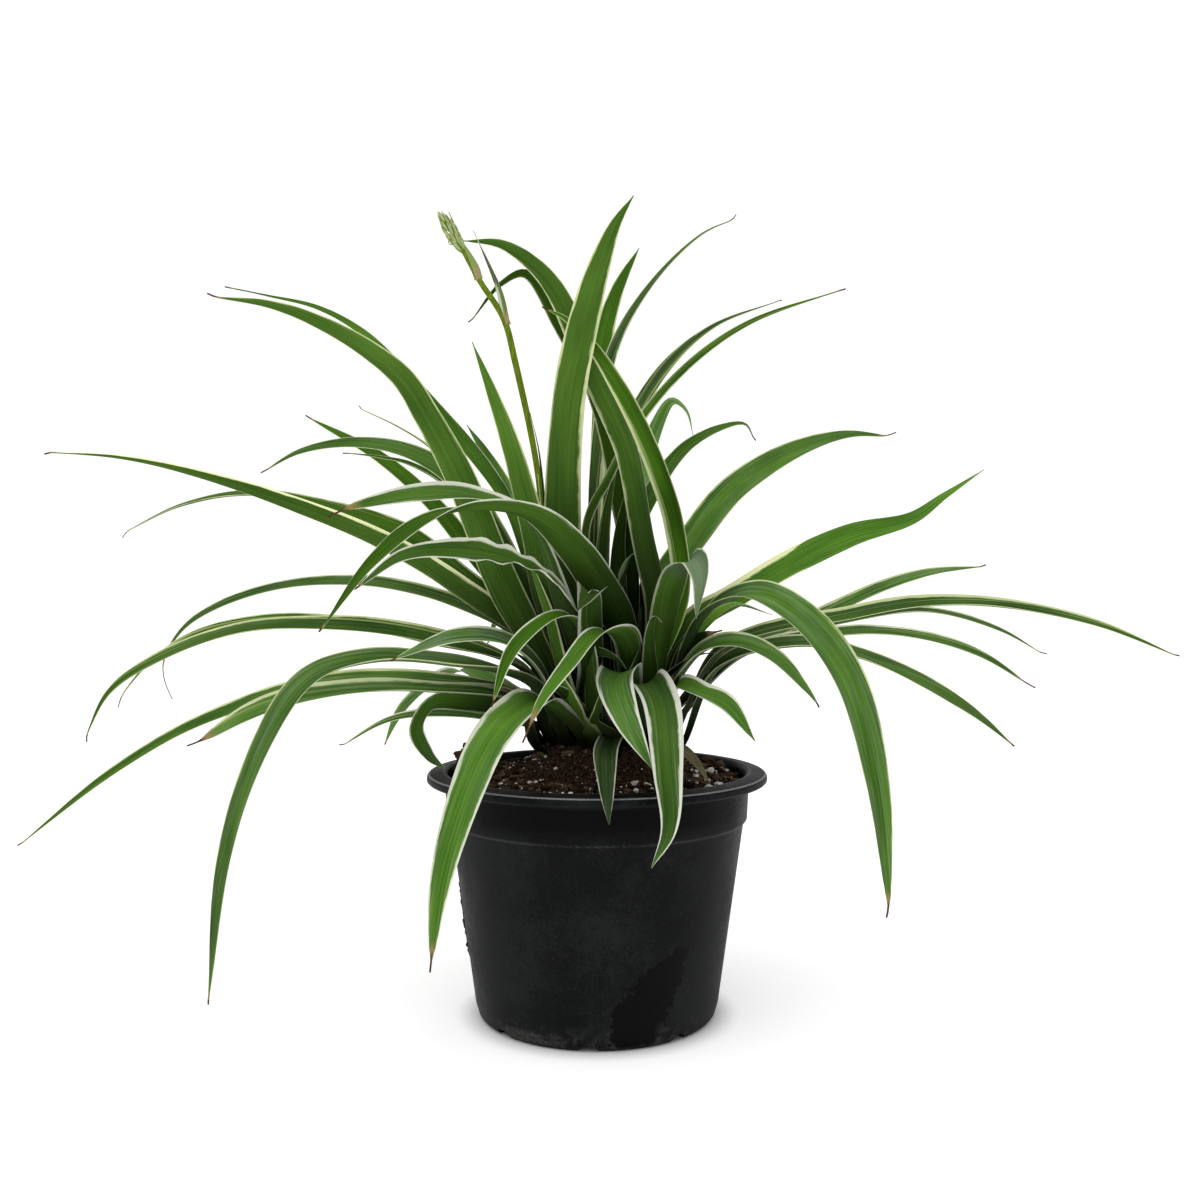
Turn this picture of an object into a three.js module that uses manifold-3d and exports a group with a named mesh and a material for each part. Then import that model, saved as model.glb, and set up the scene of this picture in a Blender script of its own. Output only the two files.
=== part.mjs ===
// A variegated spider plant in a six-inch nursery pot. Millimetres, +Z up.
// The origin is the middle of the pot's foot, on the surface that the pot stands on.
// The plant is seen from -Y: +X is to the right, +Y is behind.
import * as THREE from "three";
import { mergeVertices } from "three/addons/utils/BufferGeometryUtils.js";
import Module from "manifold-3d";

const wasm = await Module();
wasm.setup();

// Driving dimensions of the pot
const RIM_DIAMETER = 160;
const POT_HEIGHT = 115;
const FOOT_DIAMETER = 114;
const WALL = 1.4;
const FLOOR = 2;
const STEP_HEIGHT = 91.5;
const STEP_RADIUS = 69;
const BAND_RADIUS = 70.6;
const LIP_THICKNESS = 3;
const LIP_OVERHANG = 8;
const POT_SIDES = 48;
const NOTCH_COUNT = 8;
const FIRST_NOTCH = 266;
const NOTCH_WIDTH = 11.5;
const NOTCH_TOP_WIDTH = 4;
const NOTCH_HEIGHT = 3.5;

// Driving dimensions of the soil, the crown and the flower stalk
const CLEARANCE = 0.3;
const SOIL_EDGE_HEIGHT = 108;
const SOIL_MOUND = 16;
const SOIL_SIDES = 40;
const PERLITE = { grains: 26, smallest: 1.1, largest: 2.4, stretch: 1.2, rise: 0.1 };
const BARK_CHIP = { x: -58, y: 14, size: 6, stretch: 1.5, turn: 0.9, rise: 0.55 };
const CROWN_X = 6;
const CROWN_Y = 5;
const CROWN_RADIUS = 34;
const CROWN_CURVATURE = 48;
const CROWN_FOOT_HEIGHT = 117.5;
const CROWN_DEPTH = 38;
const CROWN_SIDES = 32;
const STALK_RADIUS = 1.6;
const STALK_STEPS = 18;
const STALK_SIDES = 8;

// Driving dimensions that all leaves share. FOLD is the slope of the channel's sides in degrees,
// TAPER is how late a blade narrows to its tip, and SEAT_MARGIN keeps a channelled base clear of
// the dome that curves away below it.
const BLADE_THICKNESS = 0.8;
const BASE_WIDTH = 8;
const TIP_WIDTH = 1;
const TAPER = 2.4;
const FOLD = 24;
const FIRST_RING_RADIUS = 4;
const RING_SPACING = 4.5;
const SHEATH_RISE = 10;
const SEAT_MARGIN = 0.25;
const STATION_SPACING = 19;
const FEWEST_STATIONS = 8;
const MOST_STATIONS = 18;
const WAVE_SPACING = 9;

const radians = THREE.MathUtils.degToRad;

// Turns a three.js geometry into a manifold-3d solid.
function solidFrom(geometry) {
  const bare = new THREE.BufferGeometry();
  bare.setAttribute("position", geometry.getAttribute("position"));
  bare.setIndex(geometry.getIndex());
  const merged = mergeVertices(bare, 1e-4);
  const mesh = new wasm.Mesh({
    numProp: 3,
    vertProperties: new Float32Array(merged.attributes.position.array),
    triVerts: new Uint32Array(merged.index.array),
  });
  return new wasm.Manifold(mesh);
}

// Turns a manifold-3d solid back into a three.js geometry.
function geometryFrom(solid) {
  const mesh = solid.getMesh();
  const geometry = new THREE.BufferGeometry();
  geometry.setAttribute("position", new THREE.BufferAttribute(mesh.vertProperties, 3));
  geometry.setIndex(new THREE.BufferAttribute(mesh.triVerts, 1));
  geometry.computeVertexNormals();
  return geometry;
}

// The largest of a solid's separate bodies: a grain that lies loose is dropped.
function largestBody(solid) {
  return solid.decompose().reduce((a, b) => (a.volume() > b.volume() ? a : b));
}

// Turns a closed profile of [radius, height] points round the Z axis.
function turned(profile, sides) {
  const points = profile.map(([radius, height]) => new THREE.Vector2(radius, height));
  return new THREE.LatheGeometry(points, sides).rotateX(Math.PI / 2);
}

// A repeatable random number between 0 and 1
function seededRandom(seed) {
  let state = seed;
  return () => {
    state = (state * 16807) % 2147483647;
    return state / 2147483647;
  };
}

function makePotGeometry() {
  const footRadius = FOOT_DIAMETER / 2;
  const rimRadius = RIM_DIAMETER / 2;
  const bandTop = rimRadius - LIP_OVERHANG;
  const lipBottom = POT_HEIGHT - LIP_THICKNESS - 2;
  const profile = [
    [0, 0],
    [footRadius - 3.2, 0],
    [footRadius - 1.2, 1.8],
    [footRadius + 0.3, 7],
    [STEP_RADIUS, STEP_HEIGHT],
    [BAND_RADIUS, STEP_HEIGHT + 1.2],
    [bandTop - 0.6, lipBottom - 1],
    [bandTop + 0.6, lipBottom],
    [rimRadius - 0.9, lipBottom],
    [rimRadius, lipBottom + 0.9],
    [rimRadius - 0.2, POT_HEIGHT - 2],
    [rimRadius - 1.2, POT_HEIGHT - 1],
    [bandTop, POT_HEIGHT],
    [bandTop - 1.6, POT_HEIGHT - 0.8],
    [bandTop - 2.2, POT_HEIGHT - 2.6],
    [BAND_RADIUS - WALL - 0.5, STEP_HEIGHT + 1.2],
    [STEP_RADIUS - WALL, STEP_HEIGHT - 0.6],
    [footRadius + 0.3 - WALL, 8],
    [footRadius - 4, FLOOR],
    [0, FLOOR],
  ];
  return solidFrom(turned(profile, POT_SIDES));
}

// One drain notch: a trapezoid cut through the corner of the foot
function makeNotch(heading) {
  const reach = 14;
  const innerEnd = FOOT_DIAMETER / 2 - 10;
  const outline = new THREE.Shape();
  outline.moveTo(-NOTCH_WIDTH / 2, -1);
  outline.lineTo(NOTCH_WIDTH / 2, -1);
  outline.lineTo(NOTCH_TOP_WIDTH / 2, NOTCH_HEIGHT);
  outline.lineTo(-NOTCH_TOP_WIDTH / 2, NOTCH_HEIGHT);
  outline.closePath();
  const cutter = new THREE.ExtrudeGeometry(outline, { depth: reach, bevelEnabled: false });
  cutter.rotateX(Math.PI / 2);
  cutter.rotateZ(Math.PI / 2);
  cutter.translate(innerEnd, 0, 0);
  cutter.rotateZ(radians(heading));
  return solidFrom(cutter);
}

function makePot() {
  let pot = makePotGeometry();
  for (let i = 0; i < NOTCH_COUNT; i++) {
    pot = pot.subtract(makeNotch(FIRST_NOTCH + (i * 360) / NOTCH_COUNT));
  }
  return geometryFrom(pot);
}

// How high the soil lies above its edge at a place: a mound round the crown, and small lumps
function soilHeight(x, y) {
  const fromCrown = Math.hypot(x - CROWN_X, y - CROWN_Y);
  const mound = SOIL_MOUND * Math.exp(-((fromCrown / 46) ** 2));
  const lumps = 1.1 * Math.sin(x / 6.3 + 1) * Math.cos(y / 5.1) + 0.7 * Math.sin((x + y) / 3.7);
  const slope = -x / 45;
  return SOIL_EDGE_HEIGHT + mound + lumps + slope;
}

function makeSoilBody() {
  const bottom = FLOOR + CLEARANCE;
  const topRings = 8;
  const edge = BAND_RADIUS - WALL - 1.2;
  const rings = [];
  for (let ring = 1; ring <= topRings; ring++) {
    rings.push({ radius: (edge * ring) / topRings, height: null });
  }
  rings.push({ radius: edge - 0.6, height: STEP_HEIGHT + 1 });
  rings.push({ radius: STEP_RADIUS - WALL - 0.8, height: STEP_HEIGHT - 2 });
  rings.push({ radius: FOOT_DIAMETER / 2 - WALL - 0.7, height: 9 });
  rings.push({ radius: FOOT_DIAMETER / 2 - 5, height: bottom });
  const positions = [0, 0, soilHeight(0, 0), 0, 0, bottom];
  for (const { radius, height } of rings) {
    for (let side = 0; side < SOIL_SIDES; side++) {
      const angle = (side * 2 * Math.PI) / SOIL_SIDES;
      const x = radius * Math.cos(angle);
      const y = radius * Math.sin(angle);
      positions.push(x, y, height ?? soilHeight(x, y));
    }
  }
  const at = (ring, side) => 2 + ring * SOIL_SIDES + (side % SOIL_SIDES);
  const faces = [];
  for (let side = 0; side < SOIL_SIDES; side++) {
    faces.push(0, at(0, side), at(0, side + 1));
    for (let ring = 0; ring < rings.length - 1; ring++) {
      faces.push(at(ring, side), at(ring + 1, side), at(ring + 1, side + 1));
      faces.push(at(ring, side), at(ring + 1, side + 1), at(ring, side + 1));
    }
    faces.push(1, at(rings.length - 1, side + 1), at(rings.length - 1, side));
  }
  const geometry = new THREE.BufferGeometry();
  geometry.setAttribute("position", new THREE.Float32BufferAttribute(positions, 3));
  geometry.setIndex(faces);
  return solidFrom(geometry);
}

// A rough lump, such as a grain of perlite or a chip of bark, sunk into the soil
function makeLump({ x, y, size, stretch, turn, rise }) {
  const lump = new THREE.IcosahedronGeometry(size, 0);
  lump.scale(stretch, 1, 0.8);
  lump.rotateZ(turn);
  lump.translate(x, y, soilHeight(x, y) + size * rise);
  return solidFrom(lump);
}

function makeSoil() {
  let soil = makeSoilBody();
  const random = seededRandom(41);
  const innerRadius = CROWN_RADIUS + 3;
  const outerRadius = BAND_RADIUS - 7;
  for (let i = 0; i < PERLITE.grains; i++) {
    const turn = random() * 2 * Math.PI;
    const radius = innerRadius + (outerRadius - innerRadius) * Math.sqrt(random());
    const size = PERLITE.smallest + (PERLITE.largest - PERLITE.smallest) * random();
    const grain = { ...PERLITE, x: radius * Math.cos(turn), y: radius * Math.sin(turn), size, turn };
    soil = soil.add(makeLump(grain));
  }
  soil = soil.add(makeLump(BARK_CHIP));
  const holeRadius = CROWN_RADIUS + CLEARANCE;
  const holeBottom = CROWN_FOOT_HEIGHT - CROWN_DEPTH - CLEARANCE;
  const holeTop = POT_HEIGHT + SOIL_MOUND + CLEARANCE;
  const outline = [[0, holeBottom], [holeRadius, holeBottom], [holeRadius, holeTop], [0, holeTop]];
  const hole = turned(outline, CROWN_SIDES);
  hole.translate(CROWN_X, CROWN_Y, 0);
  return geometryFrom(largestBody(soil.subtract(solidFrom(hole))));
}

// How high the crown's low dome is at a distance from its axis
function domeHeight(radius) {
  const drop = CROWN_CURVATURE - Math.sqrt(CROWN_CURVATURE ** 2 - radius ** 2);
  const full = CROWN_CURVATURE - Math.sqrt(CROWN_CURVATURE ** 2 - CROWN_RADIUS ** 2);
  return CROWN_FOOT_HEIGHT + full - drop;
}

// The crown: the short thick stem of the plant, with its root ball in the soil below
function makeCrown() {
  const bottom = CROWN_FOOT_HEIGHT - CROWN_DEPTH;
  const profile = [[0, bottom], [0.7 * CROWN_RADIUS, bottom], [CROWN_RADIUS, bottom + 0.35 * CROWN_RADIUS]];
  const domeSteps = 6;
  for (let i = 0; i <= domeSteps; i++) {
    const radius = CROWN_RADIUS * (1 - i / domeSteps);
    profile.push([radius, domeHeight(radius)]);
  }
  return turned(profile, CROWN_SIDES).translate(CROWN_X, CROWN_Y, 0);
}

// Where a leaf or stalk stands on the dome, and which way it starts
function seatOnDome(ring, heading) {
  const radius = FIRST_RING_RADIUS + RING_SPACING * ring;
  const angle = radians(heading);
  const lean = Math.asin(radius / CROWN_CURVATURE);
  const outward = new THREE.Vector3(Math.cos(angle), Math.sin(angle), 0);
  const direction = outward.clone().multiplyScalar(Math.sin(lean)).setZ(Math.cos(lean));
  const foot = outward.clone().multiplyScalar(radius).setZ(domeHeight(radius));
  foot.x += CROWN_X;
  foot.y += CROWN_Y;
  const side = new THREE.Vector3(-Math.sin(angle), Math.cos(angle), 0);
  return { foot, direction, side };
}

// The smooth midline of a leaf or stalk: off the dome, then through its route's points
function midline(seat, route) {
  const start = seat.foot.clone().addScaledVector(seat.direction, CLEARANCE + SEAT_MARGIN);
  const risen = seat.foot.clone().addScaledVector(seat.direction, SHEATH_RISE);
  const points = route.map(([x, y, z]) => new THREE.Vector3(x, y, z));
  return new THREE.CatmullRomCurve3([start, risen, ...points]);
}

// Frames along a midline: each carries the last one's side on, with no twist of its own
function framesAlong(curve, steps, firstSide) {
  const frames = [];
  let side = firstSide.clone();
  for (let i = 0; i <= steps; i++) {
    const along = i / steps;
    const centre = curve.getPointAt(along);
    const forward = curve.getTangentAt(along).normalize();
    side = side.clone().addScaledVector(forward, -side.dot(forward)).normalize();
    const up = forward.clone().cross(side);
    frames.push({ along, centre, forward, side, up });
  }
  return frames;
}

// A leaf's half width along its length: a narrow sheath, the full blade, and a long taper
function halfWidth(along, baseWidth, width, taper) {
  const opening = THREE.MathUtils.smoothstep(along, 0.03, 0.3);
  const full = baseWidth + (width - baseWidth) * opening;
  const tip = 1 - along ** taper;
  return Math.max(full * tip, TIP_WIDTH) / 2;
}

// A leaf's roll along its length: none at the sheath, then the blade's own, or its three in turn
function rollAt(along, roll) {
  if (!Array.isArray(roll)) return radians(roll * THREE.MathUtils.smoothstep(along, 0.05, 0.4));
  const [lower, middle, outer] = roll;
  const toLower = THREE.MathUtils.smoothstep(along, 0.05, 0.3);
  const toMiddle = THREE.MathUtils.smoothstep(along, 0.3, 0.6);
  const toOuter = THREE.MathUtils.smoothstep(along, 0.6, 0.9);
  return radians(lower * toLower + (middle - lower) * toMiddle + (outer - middle) * toOuter);
}

// Joins six-cornered sections into one thin closed blade, split alike on both faces.
function stitchBlade(sections) {
  const positions = sections.flat().flatMap((corner) => corner.toArray());
  const faces = [];
  const quad = (a, b, c, d) => faces.push(a, b, c, a, c, d);
  for (let i = 0; i < sections.length - 1; i++) {
    const corners = [0, 1, 2, 3, 4, 5].map((k) => 6 * i + k);
    const [topLeft, topKeel, topRight, lowLeft, lowKeel, lowRight] = corners;
    quad(topLeft, topLeft + 6, topKeel + 6, topKeel);
    quad(topKeel, topKeel + 6, topRight + 6, topRight);
    faces.push(lowLeft, lowKeel + 6, lowLeft + 6, lowLeft, lowKeel, lowKeel + 6);
    faces.push(lowKeel, lowRight + 6, lowKeel + 6, lowKeel, lowRight, lowRight + 6);
    quad(topRight, topRight + 6, lowRight + 6, lowRight);
    quad(lowLeft, lowLeft + 6, topLeft + 6, topLeft);
  }
  const last = 6 * (sections.length - 1);
  quad(0, 1, 4, 3);
  quad(1, 2, 5, 4);
  quad(last, last + 3, last + 4, last + 1);
  quad(last + 1, last + 4, last + 5, last + 2);
  const geometry = new THREE.BufferGeometry();
  geometry.setAttribute("position", new THREE.Float32BufferAttribute(positions, 3));
  geometry.setIndex(faces);
  geometry.computeVertexNormals();
  return geometry;
}

// A channelled blade along a midline, with a keel below and both edges raised
function makeBlade(curve, firstSide, baseWidth, { width, taper = TAPER, roll = 0, wave = 0 }) {
  const length = curve.getLength();
  const steps = Math.min(MOST_STATIONS, Math.max(FEWEST_STATIONS, Math.round(length / STATION_SPACING)));
  const sections = framesAlong(curve, steps, firstSide).map(({ along, centre, side, up }) => {
    const angle = rollAt(along, roll);
    const across = side.clone().multiplyScalar(Math.cos(angle)).addScaledVector(up, Math.sin(angle));
    const inward = up.clone().multiplyScalar(Math.cos(angle)).addScaledVector(side, -Math.sin(angle));
    const half = halfWidth(along, baseWidth, width, taper);
    const rise = half * Math.tan(radians(FOLD));
    const ripple = wave * Math.sin((along * length) / WAVE_SPACING) * (half / width);
    const corner = (sideways, upward) =>
      centre.clone().addScaledVector(across, sideways).addScaledVector(inward, upward);
    const face = (lift) => [
      corner(-half, rise / 2 + ripple + lift),
      corner(0, -rise / 2 + lift),
      corner(half, rise / 2 - ripple + lift),
    ];
    return [...face(BLADE_THICKNESS / 2), ...face(-BLADE_THICKNESS / 2)];
  });
  return stitchBlade(sections);
}

// One leaf, standing on the crown
function makeLeaf({ seat, route, ...shape }) {
  const stand = seatOnDome(...seat);
  return makeBlade(midline(stand, route), stand.side, BASE_WIDTH, shape);
}

// The leaves. seat is the ring on the crown, from its middle, and the heading on it in degrees.
// width is in millimetres, and wave is the ripple of the edges. roll turns the face in degrees:
// one value for the whole blade, or those of its lower, middle and outer part.
// route is the midline's points [x, y, z] from above the sheath to the tip.
const LEAVES = {
  tall_front: { seat: [0, 260], width: 18.5, taper: 5.6, roll: [-1, -10, 10],
    route: [[-15, -3, 198], [-17, -2, 232], [-14, -4, 288], [-4, -6, 334], [8, -8, 368], [17, -9, 382]] },
  tall_left: { seat: [1, 240], width: 13.5, taper: 3.6, roll: [0, 24, 24],
    route: [[-23, -12, 190], [-29, -20, 225], [-38, -28, 262], [-48, -34, 291], [-55, -38, 309]] },
  tall_left_back: { seat: [2, 134], width: 11.5, taper: 5, roll: [28, 10, -47],
    route: [[-24, 38, 194], [-42, 60, 240], [-60, 76, 272], [-70, 82, 287]] },
  tall_back: { seat: [2, 94], width: 13, taper: 6.8, roll: [64, 46, 14],
    route: [[-3, 36, 199], [-1, 60, 261], [3, 84, 333], [11, 94, 362], [23, 104, 387]] },
  tall_back_right: { seat: [1, 130], width: 11.5, taper: 1.9, roll: [20, -6, 28],
    route: [[-3, 26, 214], [0, 50, 276], [8, 64, 324], [28, 72, 360], [55, 78, 388], [76, 84, 400]] },
  over_1: { seat: [2, 336], width: 15, taper: 5.2, roll: [-30, -35, -63],
    route: [[29, 7, 190], [23, 7, 223], [15, 8, 266], [-2, 9, 304], [-20, 9, 343], [-32, 8, 356],
      [-46, 7, 364], [-64, 6, 365]] },
  over_2: { seat: [1, 20], width: 12.5, taper: 3.6, roll: [12, 29, 35],
    route: [[19, 24, 194], [12, 36, 244], [1, 43, 295], [-19, 44, 334], [-36, 40, 358], [-48, 36, 352],
      [-63, 30, 331]] },
  over_3: { seat: [2, 15], width: 13, taper: 4, roll: [25, 41, 51],
    route: [[41, 11, 198], [38, 12, 230], [31, 6, 252], [20, 0, 277], [8, 0, 299], [-2, 1, 314],
      [-15, -1, 327], [-26, -1, 332]] },
  right_high_1: { seat: [3, 95], width: 13, taper: 2.1, roll: [58, 21, -31],
    route: [[-4, 50, 214], [8, 76, 262], [22, 92, 297], [40, 104, 324], [66, 118, 347], [106, 134, 365]] },
  right_high_2: { seat: [0, 100], width: 8.5, taper: 2.2, roll: [55, 43, 39],
    route: [[-6, 16, 229], [5, 24, 254], [22, 30, 285], [47, 36, 313], [77, 42, 334], [126, 48, 352]] },
  right_high_3: { seat: [2, 54], width: 12, taper: 3.5, roll: [-1, 19, 26],
    route: [[12, 44, 209], [27, 60, 246], [46, 72, 273], [66, 78, 285], [79, 80, 287], [84, 80, 278]] },
  right_high_4: { seat: [3, 62], width: 14, taper: 3.7, roll: [-14, -2, 40],
    route: [[15, 60, 204], [22, 88, 247], [32, 106, 287], [42, 114, 304], [50, 118, 299], [54, 118, 285]] },
  right_mid_1: { seat: [3, 30], width: 16, taper: 4.3, roll: [36, 67, 52],
    route: [[30, 30, 194], [48, 52, 223], [73, 76, 253], [111, 98, 276], [141, 112, 285],
      [168, 122, 285]] },
  right_mid_2: { seat: [4, 24], width: 16, taper: 3.5, roll: [35, 53, 20],
    route: [[45, 20, 180], [68, 28, 195], [97, 36, 212], [128, 44, 226], [161, 50, 235], [179, 54, 247],
      [200, 58, 261]] },
  right_mid_3: { seat: [5, 34], width: 11, taper: 3.2, roll: [5, 18, 37],
    route: [[66, 26, 167], [113, 44, 186], [146, 56, 200], [174, 64, 208], [205, 72, 211]] },
  right_mid_4: { seat: [6, 50], width: 10, taper: 2.9, roll: [-6, 1, 34],
    route: [[75, 44, 168], [135, 76, 183], [183, 98, 187], [226, 114, 176], [255, 124, 161]] },
  right_long: { seat: [5, 355], width: 13.5, taper: 3.1, roll: [19, 22, 33],
    route: [[58, -2, 171], [118, -10, 188], [157, -18, 194], [191, -26, 192], [225, -32, 184],
      [258, -38, 170]] },
  right_low_1: { seat: [5, 15], width: 11, taper: 3.3, roll: [8, 13, 42],
    route: [[69, 10, 168], [122, 12, 179], [156, 14, 177], [186, 16, 168], [213, 18, 151]] },
  right_low_2: { seat: [6, 337], width: 13, taper: 3.2, roll: [18, 19, 47],
    route: [[56, -18, 165], [91, -34, 176], [113, -46, 172], [139, -56, 161], [161, -62, 147],
      [176, -66, 134]] },
  right_low_3: { seat: [4, 314], width: 14.5, taper: 2.9, roll: [36, 38, 52],
    route: [[46, -28, 172], [61, -40, 177], [77, -50, 171], [90, -58, 157], [95, -60, 150]] },
  right_low_4: { seat: [4, 0], width: 13, roll: 25,
    route: [[38, 4, 166], [50, 4, 181], [66, 10, 192], [85, 14, 187]] },
  right_front: { seat: [4, 337], width: 15.5, taper: 4.5, roll: [8, -3, -3],
    route: [[43, -12, 176], [52, -22, 192], [68, -44, 199], [86, -74, 188], [100, -98, 165],
      [108, -112, 127], [112, -118, 75]] },
  front_right: { seat: [5, 321], width: 14, taper: 4, roll: [-1, -9, 21],
    route: [[34, -33, 157], [45, -52, 156], [56, -64, 151], [66, -72, 137]] },
  front_1: { seat: [5, 292], width: 17, taper: 3.8, roll: [16, 1, 10],
    route: [[21, -41, 160], [27, -58, 153], [29, -82, 126], [29, -92, 104], [22, -94, 89]] },
  front_2: { seat: [4, 281], width: 18.5, taper: 3.7, roll: [-2, -15, -11],
    route: [[11, -41, 165], [8, -50, 161], [12, -66, 147], [23, -76, 126]] },
  front_3: { seat: [6, 272], width: 11.5, taper: 4.4, roll: [0, 1, -2],
    route: [[7, -50, 136], [4, -66, 132], [4, -84, 123], [5, -92, 106]] },
  front_left_1: { seat: [5, 247], width: 17.5, taper: 3.2, roll: [-31, -47, -49],
    route: [[-23, -38, 151], [-32, -54, 150], [-44, -76, 138], [-54, -98, 113], [-61, -110, 84],
      [-64, -114, 53]] },
  front_left_2: { seat: [2, 297], width: 14.5, taper: 2.2, roll: [2, -50, -85],
    route: [[16, -24, 166], [12, -38, 180], [1, -54, 182], [-12, -73, 168.5], [-23, -82, 154], [-30, -86, 138]] },
  front_left_3: { seat: [4, 254], width: 10, taper: 4.2, roll: [-33, -36, -84],
    route: [[-5, -37, 177], [-11, -44, 188], [-20, -52, 188], [-36, -64, 174], [-44, -70, 151]] },
  front_left_4: { seat: [3, 246], width: 12.5, taper: 4, roll: [-29, -75, -108], wave: 4,
    route: [[-5, -28, 177], [-13, -38, 196], [-24, -48, 208], [-42, -57, 215], [-65, -66, 217],
      [-82, -70, 214], [-100, -76, 200]] },
  front_left_5: { seat: [1, 305], width: 18.5, taper: 2, roll: [-20, -59, -137],
    route: [[13, -10, 178], [2, -24, 200], [-10, -40, 217], [-28, -62, 232], [-52, -80, 234],
      [-70, -94, 227], [-88, -104, 211], [-107, -110, 184]] },
  left_high_1: { seat: [3, 217], width: 16.5, taper: 2.6, roll: [52, 51, 39],
    route: [[-28, -16, 172], [-44, -20, 204], [-61, -26, 248], [-76, -32, 277], [-85, -38, 292],
      [-98, -46, 303], [-116, -54, 313], [-137, -62, 320], [-162, -70, 322]] },
  left_high_2: { seat: [3, 158], width: 13.5, taper: 1.1, roll: [-21, -98, -103],
    route: [[-34, 24, 214], [-48, 40, 247], [-86, 58, 296], [-105, 70, 317], [-126, 84, 337],
      [-153, 98, 353], [-183, 110, 362], [-209, 120, 369]] },
  left_high_3: { seat: [3, 127], width: 9, roll: 30,
    route: [[-47, 44, 214], [-67, 70, 251], [-91, 92, 276], [-109, 104, 288], [-135, 118, 301]] },
  left_mid_1: { seat: [4, 148], width: 12, taper: 3.6, roll: [-12, -28, -56],
    route: [[-40, 30, 185], [-65, 48, 219], [-86, 56, 244], [-114, 66, 268], [-155, 78, 291]] },
  left_mid_2: { seat: [2, 180], width: 12.5, taper: 3.5, roll: [-36, -62, -68],
    route: [[-42, 6, 214], [-66, 12, 250], [-91, 18, 266], [-121, 24, 271], [-147, 28, 267],
      [-167, 32, 257]] },
  left_mid_3: { seat: [3, 188], width: 9, taper: 2.9, roll: [-15, -23, -55],
    route: [[-47, 16, 214], [-73, 30, 249], [-94, 38, 262], [-110, 44, 266], [-130, 50, 269]] },
  left_mid_4: { seat: [2, 245], width: 13.5, taper: 4.5, roll: [-16, -61, -112],
    route: [[-17, -24, 195], [-30, -38, 231], [-51, -48, 241], [-75, -60, 241], [-99, -66, 236],
      [-112, -70, 231]] },
  left_mid_5: { seat: [4, 172], width: 14.5, taper: 2.6, roll: [-44, -46, -35],
    route: [[-32, 18, 174], [-67, 24, 205], [-99, 38, 228], [-136, 52, 240], [-181, 64, 249],
      [-220, 70, 243], [-253, 74, 228]] },
  left_mid_6: { seat: [5, 151], width: 11, taper: 2.7, roll: [-31, -39, -59],
    route: [[-38, 33, 174], [-75, 54, 193], [-126, 76, 203], [-185, 98, 198], [-228, 110, 180],
      [-243, 114, 161], [-249, 116, 137]] },
  left_long: { seat: [4, 196], width: 15.5, taper: 1.4, roll: [42, 55, 38],
    route: [[-29, 0, 170], [-68, -8, 203], [-99, -16, 222], [-134, -24, 237], [-177, -34, 251],
      [-210, -40, 258], [-241, -44, 260]] },
  left_low_1: { seat: [5, 205], width: 12.5, taper: 3.1, roll: [-44, -43, -65],
    route: [[-31, -10, 160], [-76, -20, 178], [-120, -28, 184], [-159, -34, 182], [-191, -38, 171],
      [-215, -40, 155], [-226, -42, 133]] },
  left_low_2: { seat: [5, 172], width: 11, taper: 2.7, roll: [-24, -29, -51],
    route: [[-35, 8, 161], [-82, 24, 174], [-129, 36, 183], [-171, 44, 184], [-209, 50, 175],
      [-233, 54, 159], [-250, 56, 139]] },
  left_low_3: { seat: [4, 219], width: 12, taper: 3.2, roll: [-44, -35, -50],
    route: [[-27, -26, 165], [-41, -42, 178], [-61, -60, 180], [-85, -76, 171]] },
  left_front: { seat: [5, 226], width: 16, taper: 3, roll: [-31, -35, -42],
    route: [[-30, -22, 157], [-68, -46, 169], [-96, -62, 171], [-118, -76, 164], [-133, -90, 140],
      [-146, -100, 97], [-152, -106, 38]] },
  left_low_4: { seat: [6, 180], width: 13, taper: 2.7, roll: [-36, -50, -66],
    route: [[-37, 6, 148], [-81, 14, 156], [-126, 22, 155], [-167, 28, 145], [-209, 34, 128],
      [-250, 38, 103], [-294, 42, 69]] },
  left_low_5: { seat: [6, 202], width: 12, taper: 4.3, roll: [-26, -31, -60],
    route: [[-36, -12, 147], [-80, -24, 155], [-115, -34, 155], [-148, -42, 148], [-177, -50, 131]] },
  left_low_6: { seat: [6, 163], width: 14, roll: -30,
    route: [[-37, 10, 140], [-62, 20, 144], [-82, 28, 142], [-88, 22, 132], [-80, 3, 121],
      [-69, -20, 117]] },
  left_low_7: { seat: [6, 140], width: 9, taper: 3, roll: [-11, -34, -44],
    route: [[-49, 44, 133], [-88, 66, 134], [-114, 80, 128], [-140, 92, 113]] },
  left_low_8: { seat: [5, 130], width: 11.5, taper: 3.7, roll: [-8, 17, 63], wave: 3,
    route: [[-44, 40, 148], [-72, 66, 157], [-93, 82, 146], [-108, 92, 132], [-118, 100, 112]] },
  centre_1: { seat: [3, 330], width: 15, taper: 3.9, roll: [-19, -37, -19],
    route: [[30, -10, 176], [33, -16, 195], [38, -24, 210], [43, -31, 214], [46, -36, 207],
      [44, -38, 187]] },
  centre_2: { seat: [3, 300], width: 11,
    route: [[24, -20, 153], [24, -26, 170], [24, -30, 182], [26, -33, 188], [29, -37, 185]] },
  back_1: { seat: [5, 75], width: 14,
    route: [[16, 44, 160], [20, 76, 184], [24, 112, 180], [24, 140, 155], [24, 156, 120]] },
  back_2: { seat: [5, 100], width: 13,
    route: [[-6, 44, 172], [-12, 84, 200], [-17, 128, 200], [-18, 160, 172], [-18, 176, 132]] },
  back_3: { seat: [4, 120], width: 12,
    route: [[-24, 40, 165], [-40, 78, 186], [-54, 112, 186], [-65, 138, 164]] },
  dry_leaf: { seat: [6, 315], width: 9,
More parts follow.
